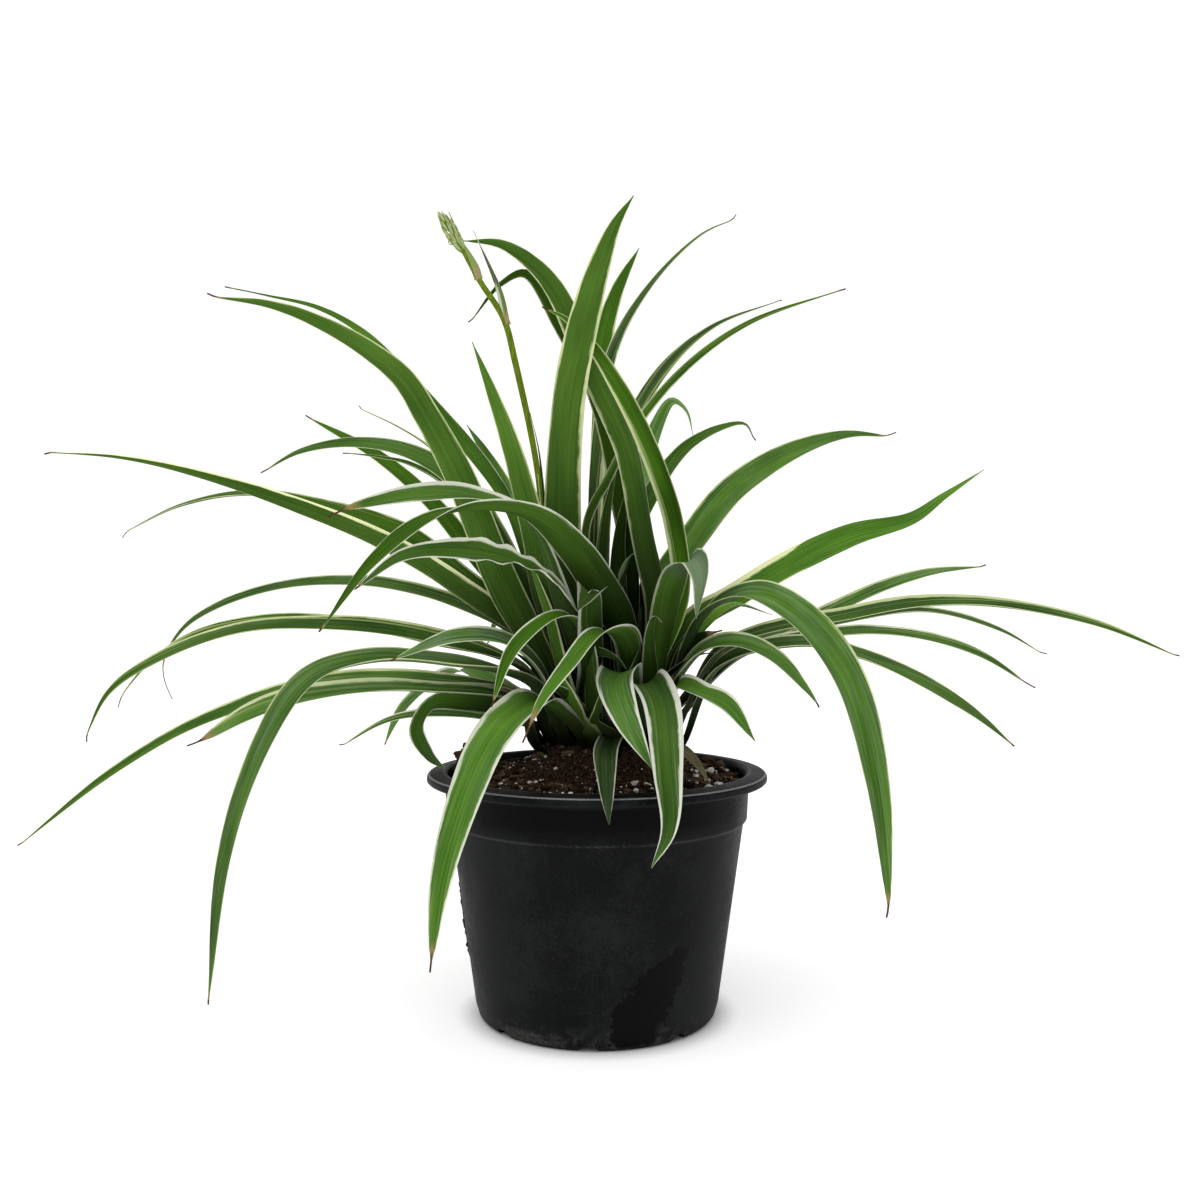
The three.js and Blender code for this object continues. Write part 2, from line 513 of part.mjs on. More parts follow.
    route: [[36, -28, 124], [43, -34, 119], [50, -42, 114]] },
};

// The flower stalk: a round stem with a long bract, a pale sheath and a cluster of closed buds
const STALK = {
  seat: [1, 190],
  route: [[-25, 7, 194], [-28, 8, 252], [-39, 4, 308], [-44, 0, 327], [-55, -5, 344], [-65, -9, 362],
    [-71, -11, 370]],
};
const BRACTS = [
  { width: 4.5, taper: 0.7,
    route: [[-43, 0, 324], [-44, -2, 332], [-46, -4, 340], [-51, -8, 352], [-57, -12, 365]] },
  { width: 4, taper: 2.5,
    route: [[-54, -4, 342], [-55, -5, 347], [-58, -6, 354]] },
];
const BRACT_BASE_WIDTH = 4;
const BUD_CLUSTER = { start: [-62, -7, 357], end: [-72, -11, 371], buds: 18, size: 2.4 };

// A round tube along a curve, closed at both ends
function makeTube(curve, radius, steps, sides) {
  const section = new THREE.Shape();
  section.absarc(0, 0, radius, 0, 2 * Math.PI);
  const options = { steps, curveSegments: sides / 2, extrudePath: curve, bevelEnabled: false };
  return new THREE.ExtrudeGeometry(section, options);
}

// The closed buds, spiralling up the last stretch of the stalk
function makeBuds({ start, end, buds, size }) {
  const from = new THREE.Vector3(...start);
  const to = new THREE.Vector3(...end);
  const forward = to.clone().sub(from).normalize();
  const side = new THREE.Vector3(0, 1, 0).cross(forward).normalize();
  const up = forward.clone().cross(side);
  const goldenAngle = 2.4;
  const solids = [];
  for (let i = 0; i < buds; i++) {
    const along = i / (buds - 1);
    const reach = size * (0.85 - 0.5 * along);
    const angle = i * goldenAngle;
    const bud = new THREE.IcosahedronGeometry(size * (1 - 0.35 * along), 0);
    bud.scale(0.65, 0.65, 1.7);
    bud.applyQuaternion(new THREE.Quaternion().setFromUnitVectors(new THREE.Vector3(0, 0, 1), forward));
    const centre = from.clone().lerp(to, along);
    centre.addScaledVector(side, reach * Math.cos(angle)).addScaledVector(up, reach * Math.sin(angle));
    solids.push(solidFrom(bud.translate(centre.x, centre.y, centre.z)));
  }
  return solids;
}

// A thin leafy bract, rooted in the stalk
function makeBract({ route, ...shape }) {
  const curve = new THREE.CatmullRomCurve3(route.map((point) => new THREE.Vector3(...point)));
  return solidFrom(makeBlade(curve, new THREE.Vector3(1, 0, 0), BRACT_BASE_WIDTH, shape));
}

function makeFlowerStalk() {
  const stand = seatOnDome(...STALK.seat);
  const curve = midline(stand, STALK.route);
  let stalk = solidFrom(makeTube(curve, STALK_RADIUS, STALK_STEPS, STALK_SIDES));
  for (const added of [...makeBuds(BUD_CLUSTER), ...BRACTS.map(makeBract)]) {
    stalk = stalk.add(added);
  }
  return geometryFrom(stalk);
}

// Adds a named mesh with its own material to the plant.
function addPiece(group, name, geometry, color, roughness) {
  const material = new THREE.MeshStandardMaterial({ color, roughness, metalness: 0 });
  const mesh = new THREE.Mesh(geometry, material);
  mesh.name = name;
  group.add(mesh);
}

const plant = new THREE.Group();
addPiece(plant, "pot", makePot(), 0x2a2b2d, 0.5);
addPiece(plant, "soil", makeSoil(), 0x33241a, 1);
addPiece(plant, "crown", makeCrown(), 0x8ea35a, 0.7);
addPiece(plant, "flower_stalk", makeFlowerStalk(), 0x6f8a2e, 0.6);
for (const [name, leaf] of Object.entries(LEAVES)) {
  addPiece(plant, `leaf_${name}`, makeLeaf(leaf), 0x4c7d33, 0.5);
}

export default plant;
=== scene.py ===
# The looks of a potted spider plant: camera, studio, leaves, flower stem, crown, soil and pot.
# Sizes, places and routes are in millimetres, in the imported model's frame: +X to the plant's right
# as the camera sees it, +Y to its back, +Z up. Meshes are written in metres. Headings and rolls are
# in degrees, and colours are linear red, green and blue.
import math

import bmesh
import bpy
import numpy as np
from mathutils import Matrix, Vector, noise


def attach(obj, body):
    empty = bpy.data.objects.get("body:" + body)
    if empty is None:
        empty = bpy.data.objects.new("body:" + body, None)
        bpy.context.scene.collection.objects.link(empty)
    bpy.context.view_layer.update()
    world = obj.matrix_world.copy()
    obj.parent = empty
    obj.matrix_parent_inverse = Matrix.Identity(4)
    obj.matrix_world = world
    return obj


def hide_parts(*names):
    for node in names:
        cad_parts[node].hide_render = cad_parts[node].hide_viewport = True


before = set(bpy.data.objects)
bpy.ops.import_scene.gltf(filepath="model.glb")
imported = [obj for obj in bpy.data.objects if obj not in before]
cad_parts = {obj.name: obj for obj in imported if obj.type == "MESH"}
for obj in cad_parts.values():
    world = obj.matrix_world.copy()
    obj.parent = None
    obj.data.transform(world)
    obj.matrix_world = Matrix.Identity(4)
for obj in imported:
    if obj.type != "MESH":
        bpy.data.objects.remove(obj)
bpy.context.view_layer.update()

MM = 0.001

# The camera, as fitted to the pot's rim and foot, and its frame
CAMERA_PLACE = (1.4, -600, 205)
CAMERA_PITCH = 1.0
FOCAL_PIXELS = 1270
FRAME_PIXELS = 1200
SENSOR_WIDTH = 36
NEAREST_SEEN = 10

# The studio: an even surround, brighter to the camera, a floor that glows away from the pot, with painted
# shade under the pot where the glow stops, and one broad soft light from high at the front left
AMBIENT_LIGHT = 0.8
BACKDROP_WHITE = 1.1
FLOOR_GLOW = 0.45
FLOOR_HALF_WIDTH = 6000
KEY_LIGHT_FROM = (-0.35, -0.45, 1.2)
KEY_LIGHT_SPREAD = 60
KEY_LIGHT_STRENGTH = 1.1

# The pot
RIM_DIAMETER = 160
POT_HEIGHT = 115
FOOT_DIAMETER = 114
WALL = 1.4
FLOOR = 2
STEP_HEIGHT = 91.5
STEP_RADIUS = 69
BAND_RADIUS = 70.6
LIP_THICKNESS = 3
LIP_OVERHANG = 8
POT_SIDES = 192
CORNER_ROUNDING = 0.9
TALLEST_BAND = 6
SHARPEST_SMOOTH = 38

# The notches round its foot, and the strip of dried dirt on its left
NOTCH_COUNT = 8
FIRST_NOTCH = 266
NOTCH_WIDTH = 11.5
NOTCH_TOP_WIDTH = 4
NOTCH_HEIGHT = 3.5
NOTCH_REACH = (47, 61)
CRUST_HEADING = 186
CRUST_ENDS = (62, 28)
CRUST_THICKNESS = 1.1

# The damp patch low on its front right: its middle, its lean, and how far it spreads up and across
DAMP_X = 24
DAMP_Z = 24
DAMP_RISE = (0.57, 0.82)
DAMP_HALF_LENGTH = 27
DAMP_HALF_WIDTH = 10.5

# The soil, with the heap pressed against the leaves' feet
CLEARANCE = 0.3
SOIL_EDGE_HEIGHT = 108
SOIL_MOUND = 16
SOIL_MOUND_RADIUS = 46
SOIL_SIDES = [(52, 2.3), (54.9, 9), (66.8, 89.5), (67.4, 92.5)]
SOIL_EDGE_RADIUS = BAND_RADIUS - WALL - 1.2
SOIL_COLUMNS = 300
SOIL_RINGS = 53
HEAP_RADIUS = 46
HEAP_INNER_RADIUS = 9
HEAP_HEIGHT = 131
HEAP_COLUMNS = 150
HEAP_RINGS = 26
LARGE_PERLITE = 26
SMALL_PERLITE = 760
CRUMBS = 2900
FIBRES = 160
SMALL_CHIPS = 24
LARGE_CHIP = (-58, 14, 6, 0.9)
SOIL_LUMPS = [(-63, 13, 119, 4.2, 0.4), (-60, 18, 120, 4.4, 2), (-64, 8, 118, 3, 1.2), (-58, 17, 124, 2.6, 3),
              (-63, 15, 123.5, 2.2, 5), (-55, 24, 118, 3.4, 4), (55, 30, 114, 3, 1), (60, 20, 113, 2.6, 2)]

# Lumps of three sizes on the soil, its heap and the crown: their height, their scale and their seed
CRUMB_LUMPS = [(0.9, 0.28, 2), (0.7, 0.6, 5), (0.45, 1.3, 8)]
HEAP_LUMPS = [(1.5, 0.2, 6), (1.1, 0.5, 3), (0.6, 1.2, 1)]
CROWN_LUMPS = [(1.1, 0.16, 0), (0.7, 0.45, 4), (0.35, 1.3, 9)]

# The crown
CROWN_X = 6
CROWN_Y = 5
CROWN_RADIUS = 34
CROWN_CURVATURE = 48
CROWN_FOOT_HEIGHT = 117.5
CROWN_DEPTH = 38
CROWN_COLUMNS = 120
CROWN_RINGS = 46
OLD_SHEATHS = 8

# What all leaves share. A blade is thinner than its solid, and its edges are thinner still.
BLADE_THICKNESS = 0.55
EDGE_THICKNESS = 0.25
THIN_END = 0.4
BASE_WIDTH = 8
TAPER = 2.4
FOLD = 24
SWAY = 0.05
SWELL = 0.035
WAVE_SPACING = 9
GREEN_TIP = 0.22
DRY_TIP = 0.38
DRY_TIP_THICKNESS = 0.8
FIRST_RING_RADIUS = 4
RING_SPACING = 4.5
SHEATH_RISE = 10
SEAT_MARGIN = 0.25
STATION_STEP = 2.4
LEAST_STATIONS = 14
BLADE_COLUMNS = 17
BLADE_RING = 2 * BLADE_COLUMNS
GOLDEN = 0.618

# The painted shade that darkens the leaves in the plant's heart, and at their feet on the soil
HEART_HEIGHT = 150
HEART_REACH = (32, 112)
HEART_SHADE = 0.16
FOOT_SHADE = 0.95

# Colours of the leaves
UPPER_DARK = (0.022, 0.075, 0.004)
UPPER_BRIGHT = (0.085, 0.2, 0.012)
UNDER_DARK = (0.03, 0.08, 0.008)
UNDER_BRIGHT = (0.085, 0.18, 0.022)
RIB_GREEN = (0.09, 0.2, 0.03)
STREAK_GREEN = (0.34, 0.44, 0.15)
MARGIN_WHITE = (0.74, 0.76, 0.64)
MARGIN_CREAM = (0.62, 0.69, 0.33)
MARGIN_YELLOW = (0.95, 0.98, 0.55)
# The sheaths' olive is darker than their own pale green: partly their colour, partly painted shade
SHEATH_OLIVE = (0.06, 0.09, 0.02)
END_TAN = (0.3, 0.22, 0.09)
END_BROWNS = ((0.03, 0.014, 0.01), (0.13, 0.06, 0.03))
FALLEN_BROWNS = ((0.06, 0.055, 0.025), (0.25, 0.22, 0.12))

# Colours of the flower stem, its bracts and its buds
STEM_GREENS = ((0.08, 0.14, 0.003), (0.17, 0.24, 0.008))
BRACT_GREENS = ((0.13, 0.2, 0.05), (0.23, 0.31, 0.09))
BRACT_CLEAR = (0.62, 0.64, 0.5)
BRACT_FOOT = (0.34, 0.29, 0.13)
BRACT_THREAD = (0.1, 0.12, 0.05)
BRACT_END = (0.5, 0.5, 0.36)
BUD_GREENS = ((0.2, 0.29, 0.06), (0.46, 0.54, 0.22))
BUD_TIP = (0.5, 0.54, 0.28)

# Colours of the crown, the soil and what lies on it
CROWN_GREENS = ((0.2, 0.25, 0.08), (0.05, 0.08, 0.02))
CROWN_CRUST = ((0.016, 0.01, 0.007), (0.08, 0.05, 0.035))
PEAT_BROWNS = ((0.006, 0.0035, 0.0022), (0.1, 0.054, 0.03))
PEAT_FIBRE = (0.15, 0.08, 0.042)
CRUMB_BROWNS = ((0.008, 0.005, 0.0032), (0.15, 0.085, 0.05))
CRUMB_RED = (0.2, 0.1, 0.055)
PERLITE_WHITES = ((0.34, 0.28, 0.21), (0.82, 0.8, 0.75))

# Colours of the pot and of the studio's floor
PLASTIC_BLACKS = ((0.003, 0.0034, 0.0037), (0.0112, 0.0119, 0.0123))
PLASTIC_SPECK = (0.09, 0.09, 0.088)
PLASTIC_SCRATCH = (0.035, 0.035, 0.035)
# The grey of wear, also used for the painted highlight along the lip
PLASTIC_WEAR_AND_HIGHLIGHT = (0.19, 0.19, 0.185)
PLASTIC_SCUFF = (0.05, 0.05, 0.048)
PLASTIC_SMEAR = (0.05, 0.05, 0.047)
PLASTIC_DAMP = (0.0008, 0.0008, 0.001)
FLOOR_GREY = (0.72, 0.72, 0.72)

# Each leaf's foot on the crown (ring and heading), its blade and its finish. A roll has one value, or
# three for its lower, middle and outer part. pale gives the width of each margin as a share of half
# the blade, cream its yellowness, dry the length of its dry end, light its brightness, which is partly
# its own tone and partly painted light and shade, lines its pale streaks, and grey its painted greyish
# sheen. open_to lifts the painted shade in the heart and at the feet, plain_end has no margin, dull_end
# is greyed, and crimp ripples its rims.
LEAVES = {
    "tall_front": dict(
        seat=(0, 260), width=18.5, taper=5.6, roll=(-1, -10, 10), pale=(0.28, 0.26), cream=0.9,
        light=1.1,
        route=[(-15, -3, 198), (-17, -2, 232), (-14, -4, 288), (-4, -6, 334), (8, -8, 368), (17, -9, 382)]),
    "tall_left": dict(
        seat=(1, 240), width=13.5, taper=3.6, roll=(0, 24, 24), pale=(0.16, 0.2), cream=0.9, light=1.35,
        route=[(-23, -12, 190), (-29, -20, 225), (-38, -28, 262), (-48, -34, 291), (-55, -38, 309)]),
    "tall_left_back": dict(
        seat=(2, 134), width=11.5, taper=5, roll=(28, 10, -47), pale=(0.12, 0.12), cream=0.8, light=1.25,
        grey=0.15,
        route=[(-24, 38, 194), (-42, 60, 240), (-60, 76, 272), (-70, 82, 287)]),
    "tall_back": dict(
        seat=(2, 94), width=13, taper=6.8, roll=(64, 46, 14), pale=(0.28, 0.28), cream=0.9, light=1.15,
        route=[(-3, 36, 199), (-1, 60, 261), (3, 84, 333), (11, 94, 362), (23, 104, 387)]),
    "tall_back_right": dict(
        seat=(1, 130), width=11.5, taper=1.9, roll=(20, -6, 28), pale=(0.36, 0.4), cream=0.6, dry=6,
        light=0.8, lines=0.6, grey=0.3,
        route=[(-3, 26, 214), (0, 50, 276), (8, 64, 324), (28, 72, 360), (55, 78, 387.5), (76, 84, 398.2)]),
    "over_1": dict(
        seat=(2, 336), width=15, taper=5.2, roll=(-30, -35, -63), pale=(0.16, 0.2), cream=0.8,
        route=[(29, 7, 190), (23, 7, 223), (15, 8, 266), (-2, 9, 304), (-20, 9, 343), (-32, 8, 356),
               (-46, 7, 364), (-64, 6, 365)]),
    "over_2": dict(
        seat=(1, 20), width=12.5, taper=3.6, roll=(12, 29, 35), pale=(0.2, 0.2), cream=0.8, dry=3,
        light=0.55,
        route=[(19, 24, 194), (12, 36, 244), (1, 43, 295), (-19, 44, 334), (-36, 40, 358),
               (-48, 36, 352), (-63, 30, 331)]),
    "over_3": dict(
        seat=(2, 15), width=13, taper=4, roll=(25, 41, 51), open_to=1, pale=(0.35, 0.4), cream=0.9,
        dry=4, light=1.12, lines=0.6,
        route=[(41, 11, 198), (38, 12, 230), (31, 6, 252), (20, 0, 277), (8, 0, 299), (-2, 1, 314),
               (-15, -1, 327), (-26, -1, 332)]),
    "right_high_1": dict(
        seat=(3, 95), width=13, taper=2.1, roll=(58, 21, -31), pale=(0.2, 0.25), cream=0.6, dry=3,
        light=0.6, lines=1, grey=0.3,
        route=[(-4, 50, 214), (8, 76, 262), (22, 92, 297), (40, 104, 324), (66, 118, 347),
               (106, 134, 365)]),
    "right_high_2": dict(
        seat=(0, 100), width=8.5, taper=2.2, roll=(55, 43, 39), pale=(0.35, 0.35), cream=0.5, dry=5,
        light=1.1, lines=1,
        route=[(-6, 16, 229), (5, 24, 254), (22, 30, 285), (47, 36, 313), (77, 42, 334), (126, 48, 352)]),
    "right_high_3": dict(
        seat=(2, 54), width=12, taper=3.5, roll=(-1, 19, 26), pale=(0.12, 0.12), cream=0.5, dry=4,
        light=0.9, grey=0.1,
        route=[(12, 44, 209), (27, 60, 246), (46, 72, 273), (66, 78, 285), (79, 80, 287), (84, 80, 278)]),
    "right_high_4": dict(
        seat=(3, 62), width=14, taper=3.7, roll=(-14, -2, 40), pale=(0.1, 0.1), cream=0.6, light=1.9,
        grey=0.25,
        route=[(15, 60, 204), (22, 88, 247), (32, 106, 287), (42, 114, 304), (50, 118, 299),
               (54, 118, 285)]),
    "right_mid_1": dict(
        seat=(3, 30), width=16, taper=4.3, roll=(36, 67, 52), pale=(0.06, 0.14), cream=0.9, dry=7,
        light=1.2, grey=0.15,
        route=[(30, 30, 194), (48, 52, 223), (73, 76, 253), (111, 98, 276), (141, 112, 285),
               (168, 122, 285)]),
    "right_mid_2": dict(
        seat=(4, 24), width=16, taper=3.5, roll=(35, 53, 20), plain_end=120, pale=(0.08, 0.5), cream=1,
        light=1.45, grey=0.05,
        route=[(45, 20, 180), (68, 28, 195), (97, 36, 212), (128, 44, 226), (161, 50, 235),
               (179, 54, 247), (200, 58, 261)]),
    "right_mid_3": dict(
        seat=(5, 34), width=11, taper=3.2, roll=(5, 18, 37), base_width=4.5, pale=(0.1, 0.35), cream=0.9,
        dry=3, light=1.3, lines=0.6, grey=0.3,
        route=[(66, 26, 167), (113, 44, 186), (146, 56, 200), (174, 64, 208), (205, 72, 211)]),
    "right_mid_4": dict(
        seat=(6, 50), width=10, taper=2.9, roll=(-6, 1, 34), base_width=4.5, pale=(0.2, 0.45), cream=0.8,
        dry=4, light=0.7, lines=0.6, grey=0.3,
        route=[(75, 44, 168), (135, 76, 183), (183, 98, 187), (226, 114, 176), (255, 124, 161)]),
    "right_long": dict(
        seat=(5, 355), width=13.5, taper=3.1, roll=(19, 22, 33), base_width=4.5, pale=(0.15, 0.4),
        cream=0.9, dry=3, light=0.7, lines=0.5, grey=0.15,
        route=[(58, -2, 171), (118, -10, 188), (157, -18, 194), (191, -26, 192), (225, -32, 184),
               (257.8, -38, 170)]),
    "right_low_1": dict(
        seat=(5, 15), width=11, taper=3.3, roll=(8, 13, 42), base_width=4.5, pale=(0.2, 0.3), cream=0.4,
        dry=9, light=0.85, lines=0.5, grey=0.2,
        route=[(69, 10, 168), (122, 12, 179), (156, 14, 177), (186, 16, 168), (213, 18, 151)]),
    "right_low_2": dict(
        seat=(6, 337), width=13, taper=3.2, roll=(18, 19, 47), base_width=4.5, pale=(0.12, 0.14),
        cream=0.8, dry=3, light=0.8, grey=0.2,
        route=[(56, -18, 165), (91, -34, 176), (113, -46, 172), (139, -56, 161), (161, -62, 147),
               (176, -66, 134)]),
    "right_low_3": dict(
        seat=(4, 314), width=14.5, taper=2.9, roll=(36, 38, 52), pale=(0.18, 0.22), cream=0.6, dry=3,
        light=1.3, grey=0.2,
        route=[(46, -28, 172), (61, -40, 177), (77, -50, 171), (90, -58, 157), (95, -60, 150)]),
    "right_low_4": dict(
        seat=(4, 0), width=13, roll=25, pale=(0.18, 0.2), cream=0.5, light=2.8,
        route=[(38, 4, 166), (50, 4, 181), (66, 10, 192), (85, 14, 187)]),
    "right_front": dict(
        seat=(4, 337), width=15.5, taper=4.5, roll=(8, -3, -3), pale=(0.04, 0.1), cream=0.8, dry=7,
        light=1.2, grey=0.2,
        route=[(43, -12, 176), (52, -22, 192), (68, -44, 199), (86, -74, 188), (100, -98, 165),
               (108, -112, 127), (112, -118, 75)]),
    "front_right": dict(
        seat=(5, 321), width=14, taper=4, roll=(-1, -9, 21), pale=(0.3, 0.42), cream=0.1, light=1.3,
        grey=0.1,
        route=[(34, -33, 157), (45, -52, 156), (56, -64, 151), (66, -72, 137)]),
    "front_1": dict(
        seat=(5, 292), width=17, taper=3.8, roll=(16, 1, 10), pale=(0.38, 0.46), cream=0, light=0.72,
        grey=0.12,
        route=[(21, -41, 160), (27, -58, 153), (29, -82, 126), (29, -92, 104), (22, -94, 89)]),
    "front_2": dict(
        seat=(4, 281), width=18.5, taper=3.7, roll=(-2, -15, -11), pale=(0.34, 0.36), cream=0,
        light=1.45, grey=0.2,
        route=[(11, -41, 165), (8, -50, 161), (12, -66, 147), (23, -76, 126)]),
    "front_3": dict(
        seat=(6, 272), width=11.5, taper=4.4, roll=(0, 1, -2), pale=(0.18, 0.18), cream=0.2, light=0.38,
        grey=0.35,
        route=[(7, -50, 136), (4, -66, 132), (4, -84, 123), (5, -92, 106)]),
    "front_left_1": dict(
        seat=(5, 247), width=17.5, taper=3.2, roll=(-31, -47, -49), pale=(0.28, 0.28), cream=0.2, dry=8,
        light=1.35, grey=0.1,
        route=[(-23, -38, 151), (-32, -54, 150), (-44, -76, 138), (-54, -98, 113), (-61, -110, 84),
               (-64, -114, 53)]),
    "front_left_2": dict(
        seat=(2, 297), width=14.5, taper=2.2, roll=(2, -50, -85), pale=(0.24, 0.26), cream=0.1, dry=11,
        light=1.22, grey=0.05,
        route=[(16, -24, 166), (12, -38, 180), (1, -54, 182), (-12, -73, 168.5), (-23, -82, 154),
               (-30, -86, 138)]),
    "front_left_3": dict(
        seat=(4, 254), width=10, taper=4.2, roll=(-33, -36, -84), pale=(0.24, 0.24), cream=0.2, dry=4,
        light=1.07,
        route=[(-5, -37, 177), (-11, -44, 188), (-20, -52, 188), (-36, -64, 174), (-44, -70, 151)]),
    "front_left_4": dict(
        seat=(3, 246), width=12.5, taper=4, roll=(-29, -75, -108), wave=4, crimp=1.4, pale=(0.5, 0.3),
        cream=0.1, dry=3, light=0.75, grey=0.1,
        route=[(-5, -28, 177), (-13, -38, 196), (-24, -48, 208), (-42, -57, 215), (-65, -66, 217),
               (-82, -70, 214), (-100, -76, 200)]),
    "front_left_5": dict(
        seat=(1, 305), width=18.5, taper=2, roll=(-20, -59, -137), pale=(0.14, 0.12), cream=0.2, dry=3,
        light=0.8,
        route=[(13, -10, 178), (2, -24, 200), (-10, -40, 217), (-28, -62, 232), (-52, -80, 234),
               (-70, -94, 227), (-88, -104, 211), (-107, -110, 184)]),
    "left_high_1": dict(
        seat=(3, 217), width=16.5, taper=2.6, roll=(52, 51, 39), pale=(0.14, 0.12), cream=0.9, dry=5,
        light=1.05,
        route=[(-28, -16, 172), (-44, -20, 204), (-61, -26, 248), (-76, -32, 277), (-85, -38, 292),
               (-98, -46, 303), (-116, -54, 313), (-137, -62, 320), (-162, -70, 322)]),
    "left_high_2": dict(
        seat=(3, 158), width=13.5, taper=1.1, roll=(-21, -98, -103), pale=(0.12, 0.1), cream=0.7, dry=5,
        light=1.05, grey=0.05,
        route=[(-34, 24, 214), (-48, 40, 247), (-86, 58, 296), (-105, 70, 317), (-126, 84, 337),
               (-153, 98, 353), (-183, 110, 362), (-209, 120, 369)]),
    "left_high_3": dict(
        seat=(3, 127), width=9, roll=30, pale=(0.14, 0.14), cream=0.8, dry=3,
        route=[(-47, 44, 214), (-67, 70, 251), (-91, 92, 276), (-109, 104, 288), (-135, 118, 301)]),
    "left_mid_1": dict(
        seat=(4, 148), width=12, taper=3.6, roll=(-12, -28, -56), pale=(0.14, 0.2), cream=0.9, dry=4,
        lines=0.3,
        route=[(-40, 30, 185), (-65, 48, 219), (-86, 56, 244), (-114, 66, 268), (-155, 78, 291)]),
    "left_mid_2": dict(
        seat=(2, 180), width=12.5, taper=3.5, roll=(-36, -62, -68), pale=(0.12, 0.14), cream=0.6, dry=5,
        light=0.9, grey=0.15,
        route=[(-42, 6, 214), (-66, 12, 250), (-91, 18, 266), (-121, 24, 271), (-147, 28, 267),
               (-167, 32, 257)]),
    "left_mid_3": dict(
        seat=(3, 188), width=9, taper=2.9, roll=(-15, -23, -55), pale=(0.1, 0.1), cream=0.6, dry=5,
        light=0.8,
        route=[(-47, 16, 214), (-73, 30, 249), (-94, 38, 262), (-110, 44, 266), (-130, 50, 269)]),
    "left_mid_4": dict(
        seat=(2, 245), width=13.5, taper=4.5, roll=(-16, -61, -112), pale=(0.55, 0.25), cream=0.1,
        dry=10, grey=0.15,
        route=[(-17, -24, 195), (-30, -38, 231), (-51, -48, 241), (-75, -60, 241), (-99, -66, 236),
               (-112, -70, 231)]),
    "left_mid_5": dict(
        seat=(4, 172), width=14.5, taper=2.6, roll=(-44, -46, -35), pale=(0.15, 0.15), cream=0.8, dry=5,
        light=0.78, lines=0.2,
        route=[(-32, 18, 174), (-67, 24, 205), (-99, 38, 228), (-136, 52, 240), (-181, 64, 249),
               (-220, 70, 243), (-253, 74, 228)]),
    "left_mid_6": dict(
        seat=(5, 151), width=11, taper=2.7, roll=(-31, -39, -59), pale=(0.2, 0.25), cream=0.6, dry=20,
        light=0.85, lines=0.7, grey=0.2,
        route=[(-38, 33, 174), (-75, 54, 193), (-126, 76, 203), (-185, 98, 198), (-228, 110, 180),
               (-243, 114, 161), (-249, 116, 137)]),
    "left_long": dict(
        seat=(4, 196), width=15.5, taper=1.4, roll=(42, 55, 38), pale=(0.12, 0.36), cream=1, dry=3,
        light=0.9, lines=0.3,
        route=[(-29, 0, 170), (-68, -8, 203), (-99, -16, 222), (-134, -24, 237), (-177, -34, 251),
               (-210, -40, 258), (-241, -44, 260)]),
    "left_low_1": dict(
        seat=(5, 205), width=12.5, taper=3.1, roll=(-44, -43, -65), pale=(0.25, 0.2), cream=0.9, dry=4,
        light=0.75, lines=0.6, grey=0.15,
        route=[(-31, -10, 160), (-76, -20, 178), (-120, -28, 184), (-159, -34, 182), (-191, -38, 171),
               (-215, -40, 155), (-226, -42, 133)]),
    "left_low_2": dict(
        seat=(5, 172), width=11, taper=2.7, roll=(-24, -29, -51), pale=(0.25, 0.3), cream=0.6, dry=8,
        light=0.8, lines=1,
        route=[(-35, 8, 161), (-82, 24, 174), (-129, 36, 183), (-171, 44, 184), (-209, 50, 175),
               (-233, 54, 159), (-250, 56, 139)]),
    "left_low_3": dict(
        seat=(4, 219), width=12, taper=3.2, roll=(-44, -35, -50), pale=(0.3, 0.3), cream=0.5, dry=3,
        light=1.6, lines=0.4, grey=0.4,
        route=[(-27, -26, 165), (-41, -42, 178), (-61, -60, 180), (-85, -76, 171)]),
    "left_front": dict(
        seat=(5, 226), width=16, taper=3, roll=(-31, -35, -42), pale=(0.08, 0.12), cream=0.8, dry=3,
        light=0.95, grey=0.25,
        route=[(-30, -22, 157), (-68, -46, 169), (-96, -62, 171), (-118, -76, 164), (-133, -90, 140),
               (-146, -100, 97), (-152, -106, 38)]),
    "left_low_4": dict(
        seat=(6, 180), width=13, taper=2.7, roll=(-36, -50, -66), pale=(0.3, 0.16), cream=0.8, dry=4,
        light=0.95, lines=0.5, grey=0.1,
        route=[(-37, 6, 148), (-81, 14, 156), (-126, 22, 155), (-167, 28, 145), (-209, 34, 128),
               (-250, 38, 103), (-293.6, 42, 69)]),
    "left_low_5": dict(
        seat=(6, 202), width=12, taper=7, roll=(-26, -31, -60), pale=(0.4, 0.15), cream=0.7, dry=9,
        light=1.2, lines=0.6, grey=0.2,
        route=[(-36, -12, 147), (-80, -24, 155), (-115, -34, 155), (-148, -42, 148), (-177, -50, 131)]),
    "left_low_6": dict(
        seat=(6, 163), width=14, roll=-30, pale=(0.2, 0.3), cream=0.4, light=0.85, grey=0.05,
        route=[(-37, 10, 140), (-62, 20, 144), (-82, 28, 142), (-88, 22, 132), (-80, 3, 121),
               (-69, -20, 117)]),
    "left_low_7": dict(
        seat=(6, 140), width=9, taper=3, roll=(-11, -34, -44), pale=(0.4, 0.3), cream=0.4, dry=3,
        light=0.85, lines=0.8, grey=0.25,
        route=[(-49, 44, 133), (-88, 66, 134), (-114, 80, 128), (-140, 92, 113)]),
    "left_low_8": dict(
        seat=(5, 130), width=11.5, taper=3.7, roll=(-8, 17, 63), wave=3, pale=(0.2, 0.25), cream=0.3,
        dry=4, light=1.8, grey=0.2,
        route=[(-44, 40, 148), (-72, 66, 157), (-93, 82, 146), (-108, 92, 132), (-118, 100, 112)]),
    "centre_1": dict(
